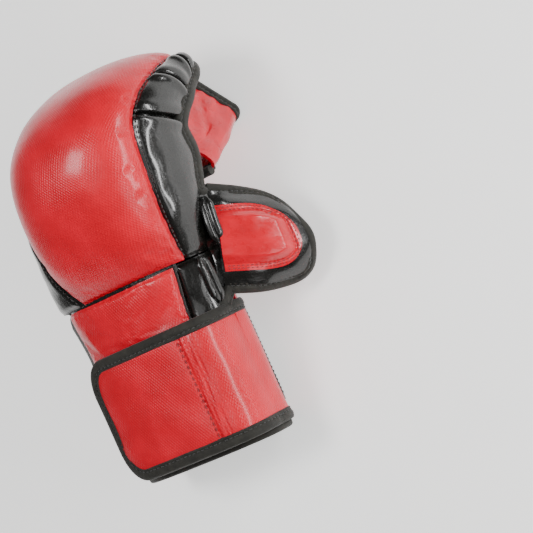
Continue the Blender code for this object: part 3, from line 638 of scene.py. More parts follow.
def coated_red():
    """Glossy red coated fabric with small embossed diamonds."""
    cloth = Cloth("red_coated_fabric", Coat_Weight=0.4, Coat_Roughness=0.2, Specular_IOR_Level=0.25)
    mottle = cloth.noise(22.0, 2.0)
    cloth.colours(mottle, (0.3, (0.60, 0.0012, 0.014)), (0.7, (0.72, 0.002, 0.020)))
    diamonds = cloth.math("MULTIPLY", cloth.ridges(1.0, 0.62, 2.1), cloth.ridges(1.0, -0.62, 2.1))
    grain = cloth.noise(0.5, 2.0)
    cloth.uneven_roughness(cloth.noise(9.0, 3.0), 0.26, 0.38)
    cloth.relief((cloth.noise(14.0, 2.0), 0.35), (diamonds, 0.16), (grain, 0.03))
    return cloth.material


def smooth_red():
    """The same coating without the diamonds, for the small sewn loops and patches."""
    cloth = Cloth("smooth_red_coating", Coat_Weight=0.5, Coat_Roughness=0.1, Specular_IOR_Level=0.3)
    cloth.colours(cloth.noise(12.0, 3.0), (0.3, (0.56, 0.001, 0.012)), (0.7, (0.68, 0.002, 0.018)))
    cloth.uneven_roughness(cloth.noise(6.0, 3.0), 0.22, 0.36)
    creases = cloth.math("POWER", cloth.noise(7.0, 4.0, (0.5, 1.6)), 2.0)
    cloth.relief((creases, 0.5), (cloth.noise(0.6, 2.0), 0.03))
    return cloth.material


def coated_black():
    cloth = Cloth("black_coated_fabric", Coat_Weight=0.7, Coat_Roughness=0.1, Specular_IOR_Level=0.35)
    cloth.colours(cloth.noise(15.0, 3.0), (0.35, (0.003, 0.003, 0.0025)), (0.7, (0.007, 0.0065, 0.0055)))
    cloth.uneven_roughness(cloth.noise(4.0, 4.0), 0.2, 0.34)
    creases = cloth.math("POWER", cloth.noise(11.0, 4.0, (0.6, 1.5)), 2.0)
    cloth.relief((creases, 0.6), (cloth.cells(0.9), 0.05), (cloth.noise(0.5, 2.0), 0.03))
    return cloth.material


def binding_tape():
    """Matte folded tape: a fine weave with worn, paler high spots."""
    cloth = Cloth("matte_binding_tape", Sheen_Weight=0.12, Sheen_Roughness=0.5, Specular_IOR_Level=0.3)
    cloth.colours(cloth.noise(7.0, 5.0), (0.3, (0.011, 0.0105, 0.008)), (0.75, (0.025, 0.0235, 0.018)))
    weave = cloth.math("MULTIPLY", cloth.ridges(1.0, 1.0, 0.55), cloth.ridges(1.0, -1.0, 0.55))
    cloth.uneven_roughness(cloth.noise(5.0, 3.0), 0.55, 0.75)
    cloth.relief((cloth.noise(6.0, 3.0, (0.7, 1.6)), 0.4), (weave, 0.06))
    return cloth.material


def knit_lining():
    cloth = Cloth("knitted_lining", 0.92, Sheen_Weight=0.5, Sheen_Roughness=0.6)
    cloth.colours(cloth.noise(5.0, 5.0), (0.3, (0.022, 0.022, 0.020)), (0.75, (0.045, 0.045, 0.040)))
    knit = cloth.math("MULTIPLY", cloth.ridges(1.0, 0.0, 0.8), cloth.ridges(0.35, 1.0, 1.1))
    cloth.relief((knit, 0.15), (cloth.noise(0.6, 4.0), 0.25))
    return cloth.material


def neoprene():
    cloth = Cloth("ribbed_neoprene", 0.8, Sheen_Weight=0.35, Sheen_Roughness=0.5)
    cloth.colours(cloth.noise(4.0, 4.0), (0.3, (0.040, 0.040, 0.036)), (0.7, (0.062, 0.061, 0.054)))
    cloth.relief((cloth.ridges(1.0, 0.0, 1.1), 0.12), (cloth.ridges(0.0, 1.0, 0.7), 0.05),
                 (cloth.noise(0.5, 3.0), 0.06))
    return cloth.material


def foam_block():
    cloth = Cloth("closed_cell_foam", 0.9)
    cloth.colours(cloth.noise(3.0, 4.0), (0.3, (0.10, 0.10, 0.09)), (0.7, (0.15, 0.15, 0.135)))
    cloth.relief((cloth.cells(0.8), 0.2), (cloth.noise(0.4, 2.0), 0.1))
    return cloth.material


def hook_tape(name, pitch_mm, deep_mm):
    cloth = Cloth(name, 0.9, Sheen_Weight=0.3)
    cloth.colours(cloth.noise(1.5, 5.0), (0.3, (0.010, 0.010, 0.010)), (0.7, (0.030, 0.030, 0.028)))
    rows = cloth.math("MULTIPLY", cloth.ridges(1.0, 0.0, pitch_mm), cloth.ridges(0.0, 1.0, pitch_mm))
    cloth.relief((rows, deep_mm), (cloth.noise(0.5, 4.0), deep_mm))
    return cloth.material


def woven_label():
    cloth = Cloth("woven_label", 0.75, Sheen_Weight=0.3)
    cloth.colours(cloth.noise(2.5, 5.0, (3.0, 0.6)),
                  (0.3, (0.026, 0.025, 0.022)), (0.7, (0.042, 0.041, 0.036)))
    cloth.relief((cloth.ridges(0.0, 1.0, 0.5), 0.1), (cloth.ridges(1.0, 0.0, 0.9), 0.05))
    return cloth.material


def grey_print():
    cloth = Cloth("grey_woven_field", 0.55)
    cloth.colours(cloth.noise(1.2, 4.0), (0.3, (0.33, 0.31, 0.26)), (0.7, (0.42, 0.40, 0.34)))
    cloth.relief((cloth.ridges(0.0, 1.0, 0.5), 0.08), (cloth.ridges(1.0, 0.0, 0.7), 0.05))
    return cloth.material


def thread(name, low, high):
    cloth = Cloth(name, 0.6, Sheen_Weight=0.3)
    cloth.colours(cloth.noise(0.6, 3.0), (0.3, low), (0.7, high))
    cloth.relief((cloth.ridges(1.0, 0.8, 0.45), 0.12))
    return cloth.material


def pale_floor():
    cloth = Cloth("pale_floor", 0.8, Emission_Color=(1.0, 1.0, 0.99, 1.0), Emission_Strength=0.75)
    cloth.colours(cloth.noise(60.0, 3.0), (0.3, (0.86, 0.86, 0.85)), (0.7, (0.88, 0.88, 0.87)))
    cloth.relief((cloth.noise(1.5, 3.0), 0.02))
    return cloth.material


RED = coated_red()
SLICK_RED = smooth_red()
BLACK = coated_black()
BINDING = binding_tape()
KNIT = knit_lining()
NEOPRENE = neoprene()
FOAM = foam_block()
HOOKS = hook_tape("hook_tape", 1.2, 0.5)
LOOPS = hook_tape("loop_tape", 0.7, 0.35)
LABEL = woven_label()
GREY = grey_print()
BLACK_THREAD = thread("black_thread", (0.006, 0.006, 0.005), (0.016, 0.015, 0.013))
RED_THREAD = thread("red_thread", (0.20, 0.003, 0.006), (0.34, 0.006, 0.012))


# ---- attaching pieces to the frame ---------------------------------------------------------------
def fit(piece, material, body, replaces=()):
    """Give a finished piece its material, its body and the CAD nodes that it stands for."""
    piece.data.materials.clear()
    piece.data.materials.append(material)
    if isinstance(body, tuple):
        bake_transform(piece)
    else:
        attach(piece, body)
    if replaces:
        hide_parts(*replaces)
    return piece


def on_strap(turn):
    return strap_surface(np.array(float(turn)), np.array(0.0))


WRAP_BEND = ("glove", "strap_wrap", on_strap(86.5), on_strap(62.0))
HOOD_BEND = ("glove", "thumb_hood", (43.0, 82.0, 35.0), (57.0, 82.0, 30.0))
PEEL_BEND = ("strap_wrap", "strap_tip", on_strap(STRAP_FOLD_DEG), on_strap(14.0))


# ---- back of the hand ----------------------------------------------------------------------------
def hand_strip(low, high, rows, columns, first=0.0, last=1.0):
    """Places on the hand between two seams, each a function of v."""
    share, v = grid(0.0, 1.0, first, last, columns, rows)
    return low(v) + (high(v) - low(v)) * share, v


def make_dome():
    u, v = hand_strip(outer_seam, thumb_seam, 60, 56)
    flat_sheet = hand(u, v) + normals(hand, u, v) * dome_rise(u, v)[..., None]
    blown = inflate(flat_sheet, 3.0)
    base = resample(blown, 260, 220)
    away = grid_normals(base)
    left, right, first, last = border_distances(base)
    travel = lengths(base, 0)
    across = lengths(base, 1)
    near = nearest_border(base)
    offset = -1.7 * bump_at(near, 0.0, 2.4)
    side_gather = np.cos(2.0 * math.pi * travel / (1.4 * STITCH_PITCH))
    end_gather = np.cos(2.0 * math.pi * across / (1.7 * STITCH_PITCH))
    offset += 0.1 * side_gather * np.exp(-np.minimum(left, right) / 4.0)
    offset += 0.14 * end_gather * np.exp(-np.minimum(first, last) / 5.0)
    offset += 0.55 * waves(base, 75.0, 3) * smooth(near / 20.0)
    piece = skin("dome_leather", base, away, offset)
    fit(piece, RED, "glove", ["dome_cover"])
    for name, column, side in (("dome_outer_stitching", 0, 1.0), ("dome_thumb_stitching", -1, -1.0)):
        lines = np.linspace(0.01, 0.97, 200)
        seam = outer_seam(lines) if column == 0 else thumb_seam(lines)
        seam = seam - side * 0.012
        path = hand(seam, lines)
        up = normals(hand, seam, lines)
        fit(stitch_row(name, path + up * 0.4, up, 2.6, 0.4), BLACK_THREAD, "glove")


def make_gussets():
    u, v = hand_strip(thumb_seam, hand_edge, 360, 90)
    base = hand(u, v)
    away = normals(hand, u, v)
    left, right, first, _ = border_distances(base)
    across = left / np.maximum(left + right, 1e-6)
    travel = lengths(base, 0)
    offset = -2.0 * bump_at(left, 0.0, 2.2) - 1.8 * bump_at(first, 0.0, 3.0)
    offset += 2.6 * np.sin(np.clip(across, 0.0, 1.0) * math.pi) ** 0.8 * smooth((travel - 4.0) / 30.0)
    for place in PLEAT_SHARES:
        row = int(round(place * (v.shape[0] - 1)))
        there = travel[row:row + 1]
        sway = 2.2 * np.sin(across * 2.4 + 9.0 * place)
        gap = travel - there - sway
        offset -= 5.2 * bump_at(gap, 0.0, 1.3) * (0.75 + 0.25 * across)
        offset += 1.7 * bump_at(gap, -4.5, 3.4)
        offset += 0.9 * bump_at(gap, 6.0, 4.0)
    offset += 0.35 * waves(base, 30.0, 5)
    piece = skin("index_gusset_leather", base, away, offset)
    fit(piece, BLACK, "glove", ["index_gusset"])

    u, v = hand_strip(lambda v: -hand_edge(v), outer_seam, 300, 80)
    base = hand(u, v)
    away = normals(hand, u, v)
    left, right, first, _ = border_distances(base)
    across = left / np.maximum(left + right, 1e-6)
    offset = -2.0 * bump_at(right, 0.0, 2.2) - 1.8 * bump_at(first, 0.0, 3.0)
    offset += 2.0 * np.sin(np.clip(across, 0.0, 1.0) * math.pi) ** 0.8
    travel = lengths(base, 0)
    for place in PLEAT_SHARES:
        gap = travel - travel[int(round(place * 299))][None] - 2.0 * np.cos(across * 3.0)
        offset -= 3.2 * bump_at(gap, 0.0, 1.4)
        offset += 1.1 * bump_at(gap, -4.5, 3.4)
    offset += 0.5 * waves(base, 28.0, 6)
    piece = skin("outer_gusset_leather", base, away, offset)
    fit(piece, BLACK, "glove", ["outer_gusset"])


def make_hand_inside():
    u, v = hand_strip(lambda v: -hand_edge(v), hand_edge, 120, 120)
    top = dome_rise(u, v) - SKIN - 3.0
    depth = lining_depth(u, v)
    piece = layer("hand_foam_block", hand, u, v, np.maximum(top, -depth + 1.0), -depth)
    fit(piece, FOAM, "glove", ["hand_foam"])
    u, v = hand_strip(lambda v: -hand_edge(v), hand_edge, 200, 200)
    base = hand(u, v)
    quilt = 0.8 * waves(base, 34.0, 8)
    inner = -lining_depth(u, v) - 0.6 + quilt
    piece = layer("hand_lining_cloth", hand, u, v, inner, inner - LINING)
    fit(piece, KNIT, "glove", ["hand_lining"])


def rim_path():
    """Middle of the rim tape and the hand's normal beside it, from the thumb web to the outer side."""
    reach, start = 3.0, 0.15
    points, ups = [], []
    for side in (1.0, -1.0):
        v = np.linspace(start, 1.0, 26)
        edge = side * hand_edge(v)
        rim = hand(edge, v)
        up = normals(hand, edge, v)
        inward = unit(hand(edge - side * 0.05, v) - rim)
        forward = unit(rim - hand(edge, v - 0.02))
        turn = np.clip((v - 0.93) / 0.07, 0.0, 1.0)[:, None]
        outward = unit(-inward + forward * turn) * reach * (1.0 + 0.15 * turn)
        line = rim - up * 0.5 * (FOAM_EDGE + LINING) + outward
        u = side * hand_edge(np.array([1.0, 1.0])) * np.array([0.66, 0.33])
        one = np.ones(2)
        last = hand(u, one)
        last_up = normals(hand, u, one)
        ahead = unit(last - hand(u, one - 0.02))
        across = last - last_up * 0.5 * (FOAM_EDGE + LINING) + ahead * reach
        line = np.concatenate([line, across])
        up = np.concatenate([up, last_up])
        points.append(line if side > 0 else line[::-1])
        ups.append(up if side > 0 else up[::-1])
    return np.concatenate(points), np.concatenate(ups)


def taped_edge(name, path, away, half_width, half_thick, count, body, replaces, closed=False,
               groove=-1.6, stitched=True, seed=1, outward=1.0):
    """Binding tape along an edge, with the row of stitches in its groove on the outer face."""
    line = resample_path(path, count, closed)
    up = unit(resample_path(away, count, closed))
    nearest = np.linalg.norm(line[:, None] - np.asarray(path)[None], axis=2).argmin(axis=1)
    up = unit(0.5 * up + np.asarray(away)[nearest])
    section = tape_section(half_width, half_thick, groove)
    section[:, 0] *= outward
    piece = sweep(name, line, up, section, closed, seed=seed, groove=groove * outward)
    fit(piece, BINDING, body, replaces)
    if stitched:
        along = unit(np.gradient(line, axis=0))
        side = np.cross(along, unit(up - along * np.sum(up * along, axis=1, keepdims=True)))
        seat = half_thick - 0.8
        stitch_line = line + side * groove * outward + up * seat
        fit(stitch_row(name + "_stitching", stitch_line, up, 2.4, 0.36), BLACK_THREAD, body)
    return piece


def make_rim():
    points, ups = rim_path()
    taped_edge("rim_tape", points, ups, 5.6, 4.6, 420, "glove", ["rim_binding"], groove=-1.9, seed=11)


# ---- finger loops --------------------------------------------------------------------------------
def loop_outline(inner_x, outer_x, inset, lean, corner_points=14):
    """The U of a finger loop in its own plane: X across and depth 0 to 1 from the palm wall."""
    low, high = inner_x + inset, outer_x - inset
    corner = LOOP_CORNER - inset
    turn = np.linspace(0.0, math.pi / 2.0, corner_points)
    first = np.stack([low + corner * (1 - np.cos(turn)),
                      (inset + corner * (1 - np.sin(turn))) / LOOP_LEG_TOP], -1)
    second = np.stack([high - corner * (1 - np.sin(turn)),
                       (inset + corner * (1 - np.cos(turn))) / LOOP_LEG_TOP], -1)
    down = np.linspace(1.0, first[0, 1], 16, endpoint=False)[:, None]
    floor = np.linspace(first[-1], second[0], 8)[1:-1]
    share = np.linspace(0.0, 1.0, 17)[1:, None]
    last = second[-1] + share * (np.array([high - lean, 1.0]) - second[-1])
    return np.concatenate([np.concatenate([0 * down + low, down], 1), first, floor, second, last])


def loop_point(x, depth, share):
    """Depth along the legs, share 0..1 from the hand side edge to the finger side edge."""
    wall = LOOP_TOP + (LOOP_BOTTOM - LOOP_TOP) * np.asarray(share)[..., None]
    down = (LOOP_BOTTOM - LOOP_TOP) / np.linalg.norm(LOOP_BOTTOM - LOOP_TOP)
    leg = np.array((-down[1], down[0])) * (blend(LOOP_LEG_TOP, LOOP_LEG_BOTTOM, share) * depth)[..., None]
    return np.stack([x + 0.0 * wall[..., 0], wall[..., 0] + leg[..., 0], wall[..., 1] + leg[..., 1]], -1)


def make_loops():
    for number, (finger, (inner_x, outer_x)) in enumerate(FINGERS.items()):
        lean = INDEX_LEG_LEAN if finger == "index" else 0.0
        outline = loop_outline(inner_x, outer_x, 0.5 * LOOP_THICK, lean)
        outline = resample_path(np.column_stack([outline[:, 0], outline[:, 1] * LOOP_LEG_TOP,
                                                 0 * outline[:, 0]]), 150)
        x = outline[:, 0][None]
        depth = outline[:, 1][None] / LOOP_LEG_TOP
        share = np.linspace(0.0, 1.0, 90)[:, None]
        x, depth, share = np.broadcast_arrays(x, depth, share)
        base = loop_point(x, depth, share)
        away = grid_normals(base)
        centre = base.mean(axis=(0, 1))
        if np.sum(away[:, 60:90] * (base[:, 60:90] - centre)) < 0.0:
            away = -away
        left, right, first, last = border_distances(base)
        open_side = np.minimum(first, last)
        swell = 1.5 * smooth(open_side / 12.0) * smooth(np.minimum(left, right) / 9.0)
        drawn = unit(np.array((0.3, 0.55, 0.8)))
        crumple = 1.7 if finger == "index" else 1.0
        wrinkle = waves(base @ np.diag((1.6, 1.0, 0.5)), 9.0, 20 + number) * crumple
        fine = waves(base @ np.diag((2.0, 0.7, 1.2)), 4.0, 40 + number)
        fine = fine * np.exp(-np.minimum(left, right) / 14.0)
        fold = bump_at(base @ drawn, float(centre @ drawn) + 3.0, 2.4)
        offset = 0.5 * LOOP_THICK + swell * 0.6 + 0.35 * wrinkle + 0.3 * fine - 1.1 * fold * (depth > 0.35)
        outside = base + away * offset[..., None]
        inside = base - away * (0.5 * LOOP_THICK - 0.25 * wrinkle)[..., None]
        piece = shell("finger_loop_leather_" + finger, outside, inside)
        fit(piece, SLICK_RED, "glove", ["finger_loop_" + finger])
        wall_length = float(np.linalg.norm(LOOP_BOTTOM - LOOP_TOP))
        beyond = 1.0 + 1.2 / wall_length
        keep = depth[0] < 0.97
        path = loop_point(x[0][keep], depth[0][keep], np.full(keep.sum(), beyond))
        path += away[-1][keep] * 0.2
        taped_edge("loop_tape_" + finger, path[::3], away[-1][keep][::3], 3.6, 2.5, 190, "glove",
                   ["loop_binding_" + finger], groove=-1.2, seed=50 + number,
                   outward=section_side(path, away[-1][keep], LOOP_BOTTOM - LOOP_TOP))
    make_palm_bar()


def section_side(path, away, off_edge_yz):
    """1 or -1, so that a section's x points off the edge of the cloth."""
    along = path[len(path) // 2 + 1] - path[len(path) // 2]
    side = np.cross(along, away[len(path) // 2])
    off_edge = np.array((0.0, off_edge_yz[0], off_edge_yz[1]))
    return 1.0 if side @ off_edge > 0 else -1.0


def make_palm_bar():
    first = min(low for low, high in FINGERS.values())
    last = max(high for low, high in FINGERS.values())
    x = np.linspace(first + 1.0, last - 4.0, 24)
    wall_length = float(np.linalg.norm(LOOP_BOTTOM - LOOP_TOP))
    share = np.full(24, -1.2 / wall_length)
    path = loop_point(x, np.full(24, 0.04), share)
    path[:, 2] -= 0.8 * np.sin(np.linspace(0.0, math.pi, 24))
    down = (LOOP_BOTTOM - LOOP_TOP) / wall_length
    away = np.tile(np.array((0.0, down[1], -down[0])), (24, 1))
    taped_edge("palm_bar_tape", path, away, 4.4, 3.3, 160, "glove", ["palm_bar"], groove=-1.4, seed=60,
               outward=section_side(path, away, LOOP_TOP - LOOP_BOTTOM))


# ---- wrist ---------------------------------------------------------------------------------------
def pad_rise(turn):
    across = np.abs(2.0 * (turn - PAD_FROM_DEG) / (PAD_TO_DEG - PAD_FROM_DEG) - 1.0)
    return blend(PAD_EDGE, PAD_HIGH, 1.0 - np.minimum(across, 1.0) ** 3)


def make_wrist():
    turn, y = grid(-180.0, 180.0 - 360.0 / 180, MOUTH_Y, WRIST_SEAM_Y - 0.5, 180, 70)
    base = oval(turn, y)
    quilt = 0.35 * waves(base, 30.0, 70)
    piece = layer("cuff_lining_cloth", oval, turn, y, quilt * 0.2, -LINING + quilt, wrap=True)
    fit(piece, KNIT, "glove", ["cuff_lining"])
    turns = np.linspace(0.0, 360.0, 96, endpoint=False)
    mouth = np.full(96, MOUTH_Y - 1.4)
    up = normals(oval, turns, np.full(96, MOUTH_Y))
    path = oval(turns, mouth) - up * 0.5 * LINING
    taped_edge("cuff_mouth_tape", path, up, 3.6, 2.4, 460, "glove", ["cuff_mouth_binding"], closed=True,
               groove=-1.2, seed=71, outward=section_side_y(path, up, -1.0))

    turn, y = grid(PAD_FROM_DEG, PAD_TO_DEG, STRAP_LOW_Y, WRIST_SEAM_Y - 1.0, 60, 64)
    rise = pad_rise(turn)
    sheet = oval(turn, y) + normals(oval, turn, y) * rise[..., None]
    blown = inflate(sheet, 2.2)
    under_strap = smooth((y - 40.0) / 8.0)[..., None]
    blown = sheet + (blown - sheet) * under_strap
    base = resample(blown, 220, 170)
    away = grid_normals(base)
    left, right, _, last = border_distances(base)
    near = np.minimum(np.minimum(left, right), last)
    offset = -1.6 * bump_at(near, 0.0, 2.4)
    offset += 0.08 * np.cos(2.0 * math.pi * lengths(base, 0) / 5.0) * np.exp(-np.minimum(left, right) / 4.0)
    offset += 0.12 * np.cos(2.0 * math.pi * lengths(base, 1) / 6.0) * np.exp(-last / 5.0)
    piece = skin("wrist_pad_leather", base, away, offset)
    fit(piece, RED, "glove", ["wrist_cover"])
    turn, y = grid(PAD_FROM_DEG + 1.0, PAD_TO_DEG - 1.0, STRAP_LOW_Y + 1.0, WRIST_SEAM_Y - 3.0, 50, 60)
    piece = layer("wrist_foam_block", oval, turn, y, pad_rise(turn) - SKIN - 2.4, SLEEVE_REST)
    fit(piece, FOAM, "glove", ["wrist_foam"])
    make_seam_allowance()
    make_pad_piping()
    make_side_panels()
    make_wrist_band()
    turn, y = grid(*LOOP_TAPE_TURNS, *LOOP_TAPE_YS, 60, 60)
    piece = layer("loop_tape_field", oval, turn, y, pad_rise(turn) + 1.5, pad_rise(turn) + 0.3)
    fit(piece, LOOPS, "glove", ["loop_tape"])


def section_side_y(path, away, direction):
    """1 or -1, so that a section's x points towards the fingers (direction 1) or the wrist (-1)."""
    side = np.cross(path[1] - path[0], away[0])
    return 1.0 if side[1] * direction > 0 else -1.0


def tape_round_wrist(name, turns, y, lift, size, count, body, node, groove, seed, way):
    """Tape along a line of constant y round the wrist; its x points towards the fingers or the wrist."""
    ys = np.full(len(turns), y)
    up = normals(palm, turns, ys)
    path = palm(turns, ys) + up * np.reshape(lift, (-1, 1))
    taped_edge(name, path, up, *size, count, body, [node], groove=groove, seed=seed,
               outward=section_side_y(path, up, way))


def make_seam_allowance():
    """The turned-in edges of pad and dome, which close the seam between them from below."""
    turn, y = grid(PAD_FROM_DEG - 3.0, PAD_TO_DEG + 3.0, WRIST_SEAM_Y - 4.0, WRIST_SEAM_Y + 4.0, 60, 10)
    outer = pad_rise(turn) - 2.3
    piece = layer("wrist_seam_allowance", palm, turn, y, outer, outer - 0.9)
    fit(piece, BLACK, "glove")


def make_pad_piping():
    """A thin dark cord sewn into the seam round the visible half of the wrist pad."""
    y = np.linspace(36.0, WRIST_SEAM_Y - 1.0, 30)
    corner = np.linspace(0.0, math.pi / 2.0, 8)[1:-1]
    turns = np.concatenate([np.full(30, PAD_FROM_DEG - 0.5), PAD_FROM_DEG + 0.0 * corner,
                            np.linspace(PAD_FROM_DEG, PAD_TO_DEG, 40)[1:-1],
                            PAD_TO_DEG + 0.0 * corner, np.full(30, PAD_TO_DEG + 0.5)])
    top = WRIST_SEAM_Y + 0.3
    ys = np.concatenate([y, np.full(6, top), np.full(38, top), np.full(6, top), y[::-1]])
    up = normals(oval, turns, ys)
    rise = np.minimum(pad_rise(turns) - 2.2, 6.6)
    path = oval(turns, np.minimum(ys, WRIST_SEAM_Y)) + up * rise[:, None]
    path[:, 1] = ys
    keep = np.concatenate([[True], np.linalg.norm(np.diff(path, axis=0), axis=1) > 0.4])
    line = resample_path(path[keep], 320)
    up = unit(resample_path(up[keep], 320))
    piece = sweep("wrist_pad_piping", line, up, tape_section(0.55, 0.55, None, count=16), seed=72)
    fit(piece, BLACK_THREAD, "glove")
    fit(stitch_row("wrist_seam_stitching", line[70:250] + up[70:250] * 0.9, up[70:250], 2.8, 0.42),
        BLACK_THREAD, "glove")


def make_side_panels():
    low = CUFF_END_Y + 0.5
    thumb_side = (PAD_TO_DEG + 0.6, 85.0)
    outer_side = (-105.0, PAD_FROM_DEG - 0.6)
    for name, node, span, material, slot, seed, puff in (
            ("radial_panel_leather", "radial_panel", thumb_side, BLACK, "black_cover", 74, 0.0),
            ("ulnar_panel_neoprene", "ulnar_panel", outer_side, NEOPRENE, "neoprene", 75, 1.8)):
        turn, y = grid(span[0], span[1], low - 8.0, WRIST_SEAM_Y - 0.6, 110, 110)
        base = oval(turn, y)
        left, right, _, last = border_distances(base)
        near = np.minimum(np.minimum(left, right), last)
        offset = PANEL_THICK - 1.6 * bump_at(near, 0.0, 2.4) + 0.9 * smooth(near / 12.0)
        offset = offset + 0.7 * waves(base @ np.diag((1.0, 0.5, 1.0)), 17.0, seed)
        offset = np.minimum(offset + puff * smooth(near / 16.0), 3.6 + puff)
        piece = layer(name, oval, turn, y, offset, SLEEVE_REST)
        fit(piece, material, "glove", [node])


def make_wrist_band():
    """Red gathered band on the palm side, between the strap and the band's own binding."""
    turn, y = grid(*BAND_TURNS, CUFF_END_Y - 3.0, BAND_HIGH_Y, 420, 60)
    base = oval(turn, y)
    _, _, first, last = border_distances(base)
    travel = lengths(base, 1)
    gather = np.sin(2.0 * math.pi * travel / 13.0 + 1.5 * np.sin(travel / 9.0) + 0.09 * first * 2.0)
    offset = 2.2 + 0.75 * gather * np.sin(np.pi * first / (first + last)) + 0.3 * waves(base, 9.0, 77)
    piece = layer("wrist_band_leather", oval, turn, y, offset, SLEEVE_REST)
    fit(piece, SLICK_RED, "glove", ["wrist_band"])
    turns = np.linspace(BAND_TURNS[0] - 1.0, BAND_TURNS[1] + 1.0, 60)
    y = np.full(60, BAND_HIGH_Y + 1.0)
    up = normals(oval, turns, y)
    path = oval(turns, y) + up * 2.6
    taped_edge("wrist_band_tape", path, up, 4.2, 1.9, 330, "glove", ["wrist_band_binding"], groove=-1.0,
               seed=78)


# ---- strap ---------------------------------------------------------------------------------------
def strap_grid(turn_from, turn_to, rows, columns):
    turn, share = np.meshgrid(np.linspace(turn_from, turn_to, columns), np.linspace(0.0, 1.0, rows))
    margin = tip_margin(turn)
    y = blend(STRAP_LOW_Y + margin, STRAP_HIGH_Y - margin, share)
    base = oval(turn, y)
    away = normals(oval, turn, np.clip(y, STRAP_LOW_Y, STRAP_HIGH_Y))
    return turn, y, base + away * strap_lift(turn)[..., None], away


def make_strap():
    turn, y, base, away = strap_grid(STRAP_EDGE_DEG + 1.6, STRAP_FOLD_DEG, 170, 200)
    travel = lengths(base, 1)
    behind = travel[:, -1:] - travel
    crease = waves(np.stack([travel * 1.0, y * 0.16, 0 * y], -1), 3.4, 80)
    crumple = crease * bump_at(behind, 6.0, 5.5)
    offset = STRAP_THICK + 0.42 * crumple - 0.9 * bump_at(behind, 0.0, 1.4)
    edge = np.minimum(y - STRAP_LOW_Y, STRAP_HIGH_Y - y)
    offset += 0.35 * waves(base, 40.0, 81) - 1.1 * np.exp(-edge / 3.0)
    outside = base + away * offset[..., None]
    piece = shell("strap_root_leather", outside, base)
    fit(piece, RED, WRAP_BEND, ["strap_root"])
    columns = np.concatenate([np.linspace(STRAP_FOLD_DEG, -24.0, 170)[:-1],
                              blend(-24.0, STRAP_TIP_DEG + 0.05, np.sin(np.linspace(0, math.pi / 2, 60)))])
    turn, share = np.meshgrid(columns, np.linspace(0.0, 1.0, 170))
    margin = tip_margin(turn)
    y = blend(STRAP_LOW_Y + margin, STRAP_HIGH_Y - margin, share)
    away = normals(oval, turn, y)
    base = oval(turn, y) + away * strap_lift(turn)[..., None]
    travel = lengths(base, 1)
    edge = np.minimum(y - STRAP_LOW_Y - margin, STRAP_HIGH_Y - margin - y)
    edge = np.minimum(edge, travel[:, -1:] - travel)
    offset = STRAP_THICK - 0.8 * bump_at(travel, 0.0, 1.6) + 0.5 * smooth(travel / 12.0)
    offset += 0.4 * waves(base, 38.0, 82) * smooth(edge / 8.0) - 1.1 * np.exp(-edge / 3.0)
    outside = base + away * offset[..., None]
    piece = shell("strap_flap_leather", outside, base)
    fit(piece, RED, PEEL_BEND, ["strap_flap"])
    make_strap_seam()
    make_strap_tapes()
    turn, y = grid(*HOOK_TAPE_TURNS, *HOOK_TAPE_YS, 60, 60)
    hook = STRAP_LIFT - 0.6
    piece = layer("hook_tape_field", oval, turn, y, hook, hook - 0.9)
    fit(piece, HOOKS, "strap_tip", ["hook_tape"])


def make_strap_seam():
    y = np.linspace(STRAP_LOW_Y + 4.0, STRAP_HIGH_Y - 4.0, 60)
    turn = np.full(60, STRAP_FOLD_DEG - 0.9)
    up = normals(oval, turn, y)
    path = strap_surface(turn, y) + up * (STRAP_THICK + 0.05)
    fit(stitch_row("strap_fold_stitching", path, up, 2.9, 0.5, pitch=4.0), RED_THREAD, PEEL_BEND)


def make_strap_tapes():
    turns = np.linspace(STRAP_EDGE_DEG + 1.6, STRAP_FOLD_DEG, 60)
    for word, y, way in STRAP_EDGES:
        tape_round_wrist("strap_root_tape_" + word, turns, y, strap_lift(turns) + 0.5 * STRAP_THICK,
                         (4.3, 2.6), 190, WRAP_BEND, "strap_root_binding_" + word, -1.7, 84, way)
    per_mm = math.degrees(1.0 / (CUFF_HALF_WIDTH + STRAP_LIFT))
    corner_turn = STRAP_TIP_DEG + STRAP_TIP_ROUND * per_mm
    radius = STRAP_TIP_ROUND + TAPE_REACH
    swing = np.linspace(0.0, math.pi / 2.0, 12)
    halves = []
    for side in (1, -1):
        edge = STRAP_HIGH_Y if side > 0 else STRAP_LOW_Y
        straight = np.linspace(STRAP_FOLD_DEG, corner_turn + 1.5, 40)
        turns = np.concatenate([straight, corner_turn - radius * np.sin(swing) * per_mm])
        ys = np.concatenate([np.full(40, edge + side * TAPE_REACH),
                             edge - side * (STRAP_TIP_ROUND - radius * np.cos(swing))])
        up = normals(oval, turns, ys)
        line = strap_surface(turns, ys) + up * 0.5 * STRAP_THICK
        halves.append((line, up) if side > 0 else (line[::-1], up[::-1]))
    path = np.concatenate([halves[0][0], halves[1][0]])
    up = np.concatenate([halves[0][1], halves[1][1]])
    taped_edge("strap_flap_tape", path, up, 4.3, 2.6, 460, PEEL_BEND, ["strap_flap_binding"],
               groove=-1.7, seed=85, outward=section_side_y(path, up, 1.0))


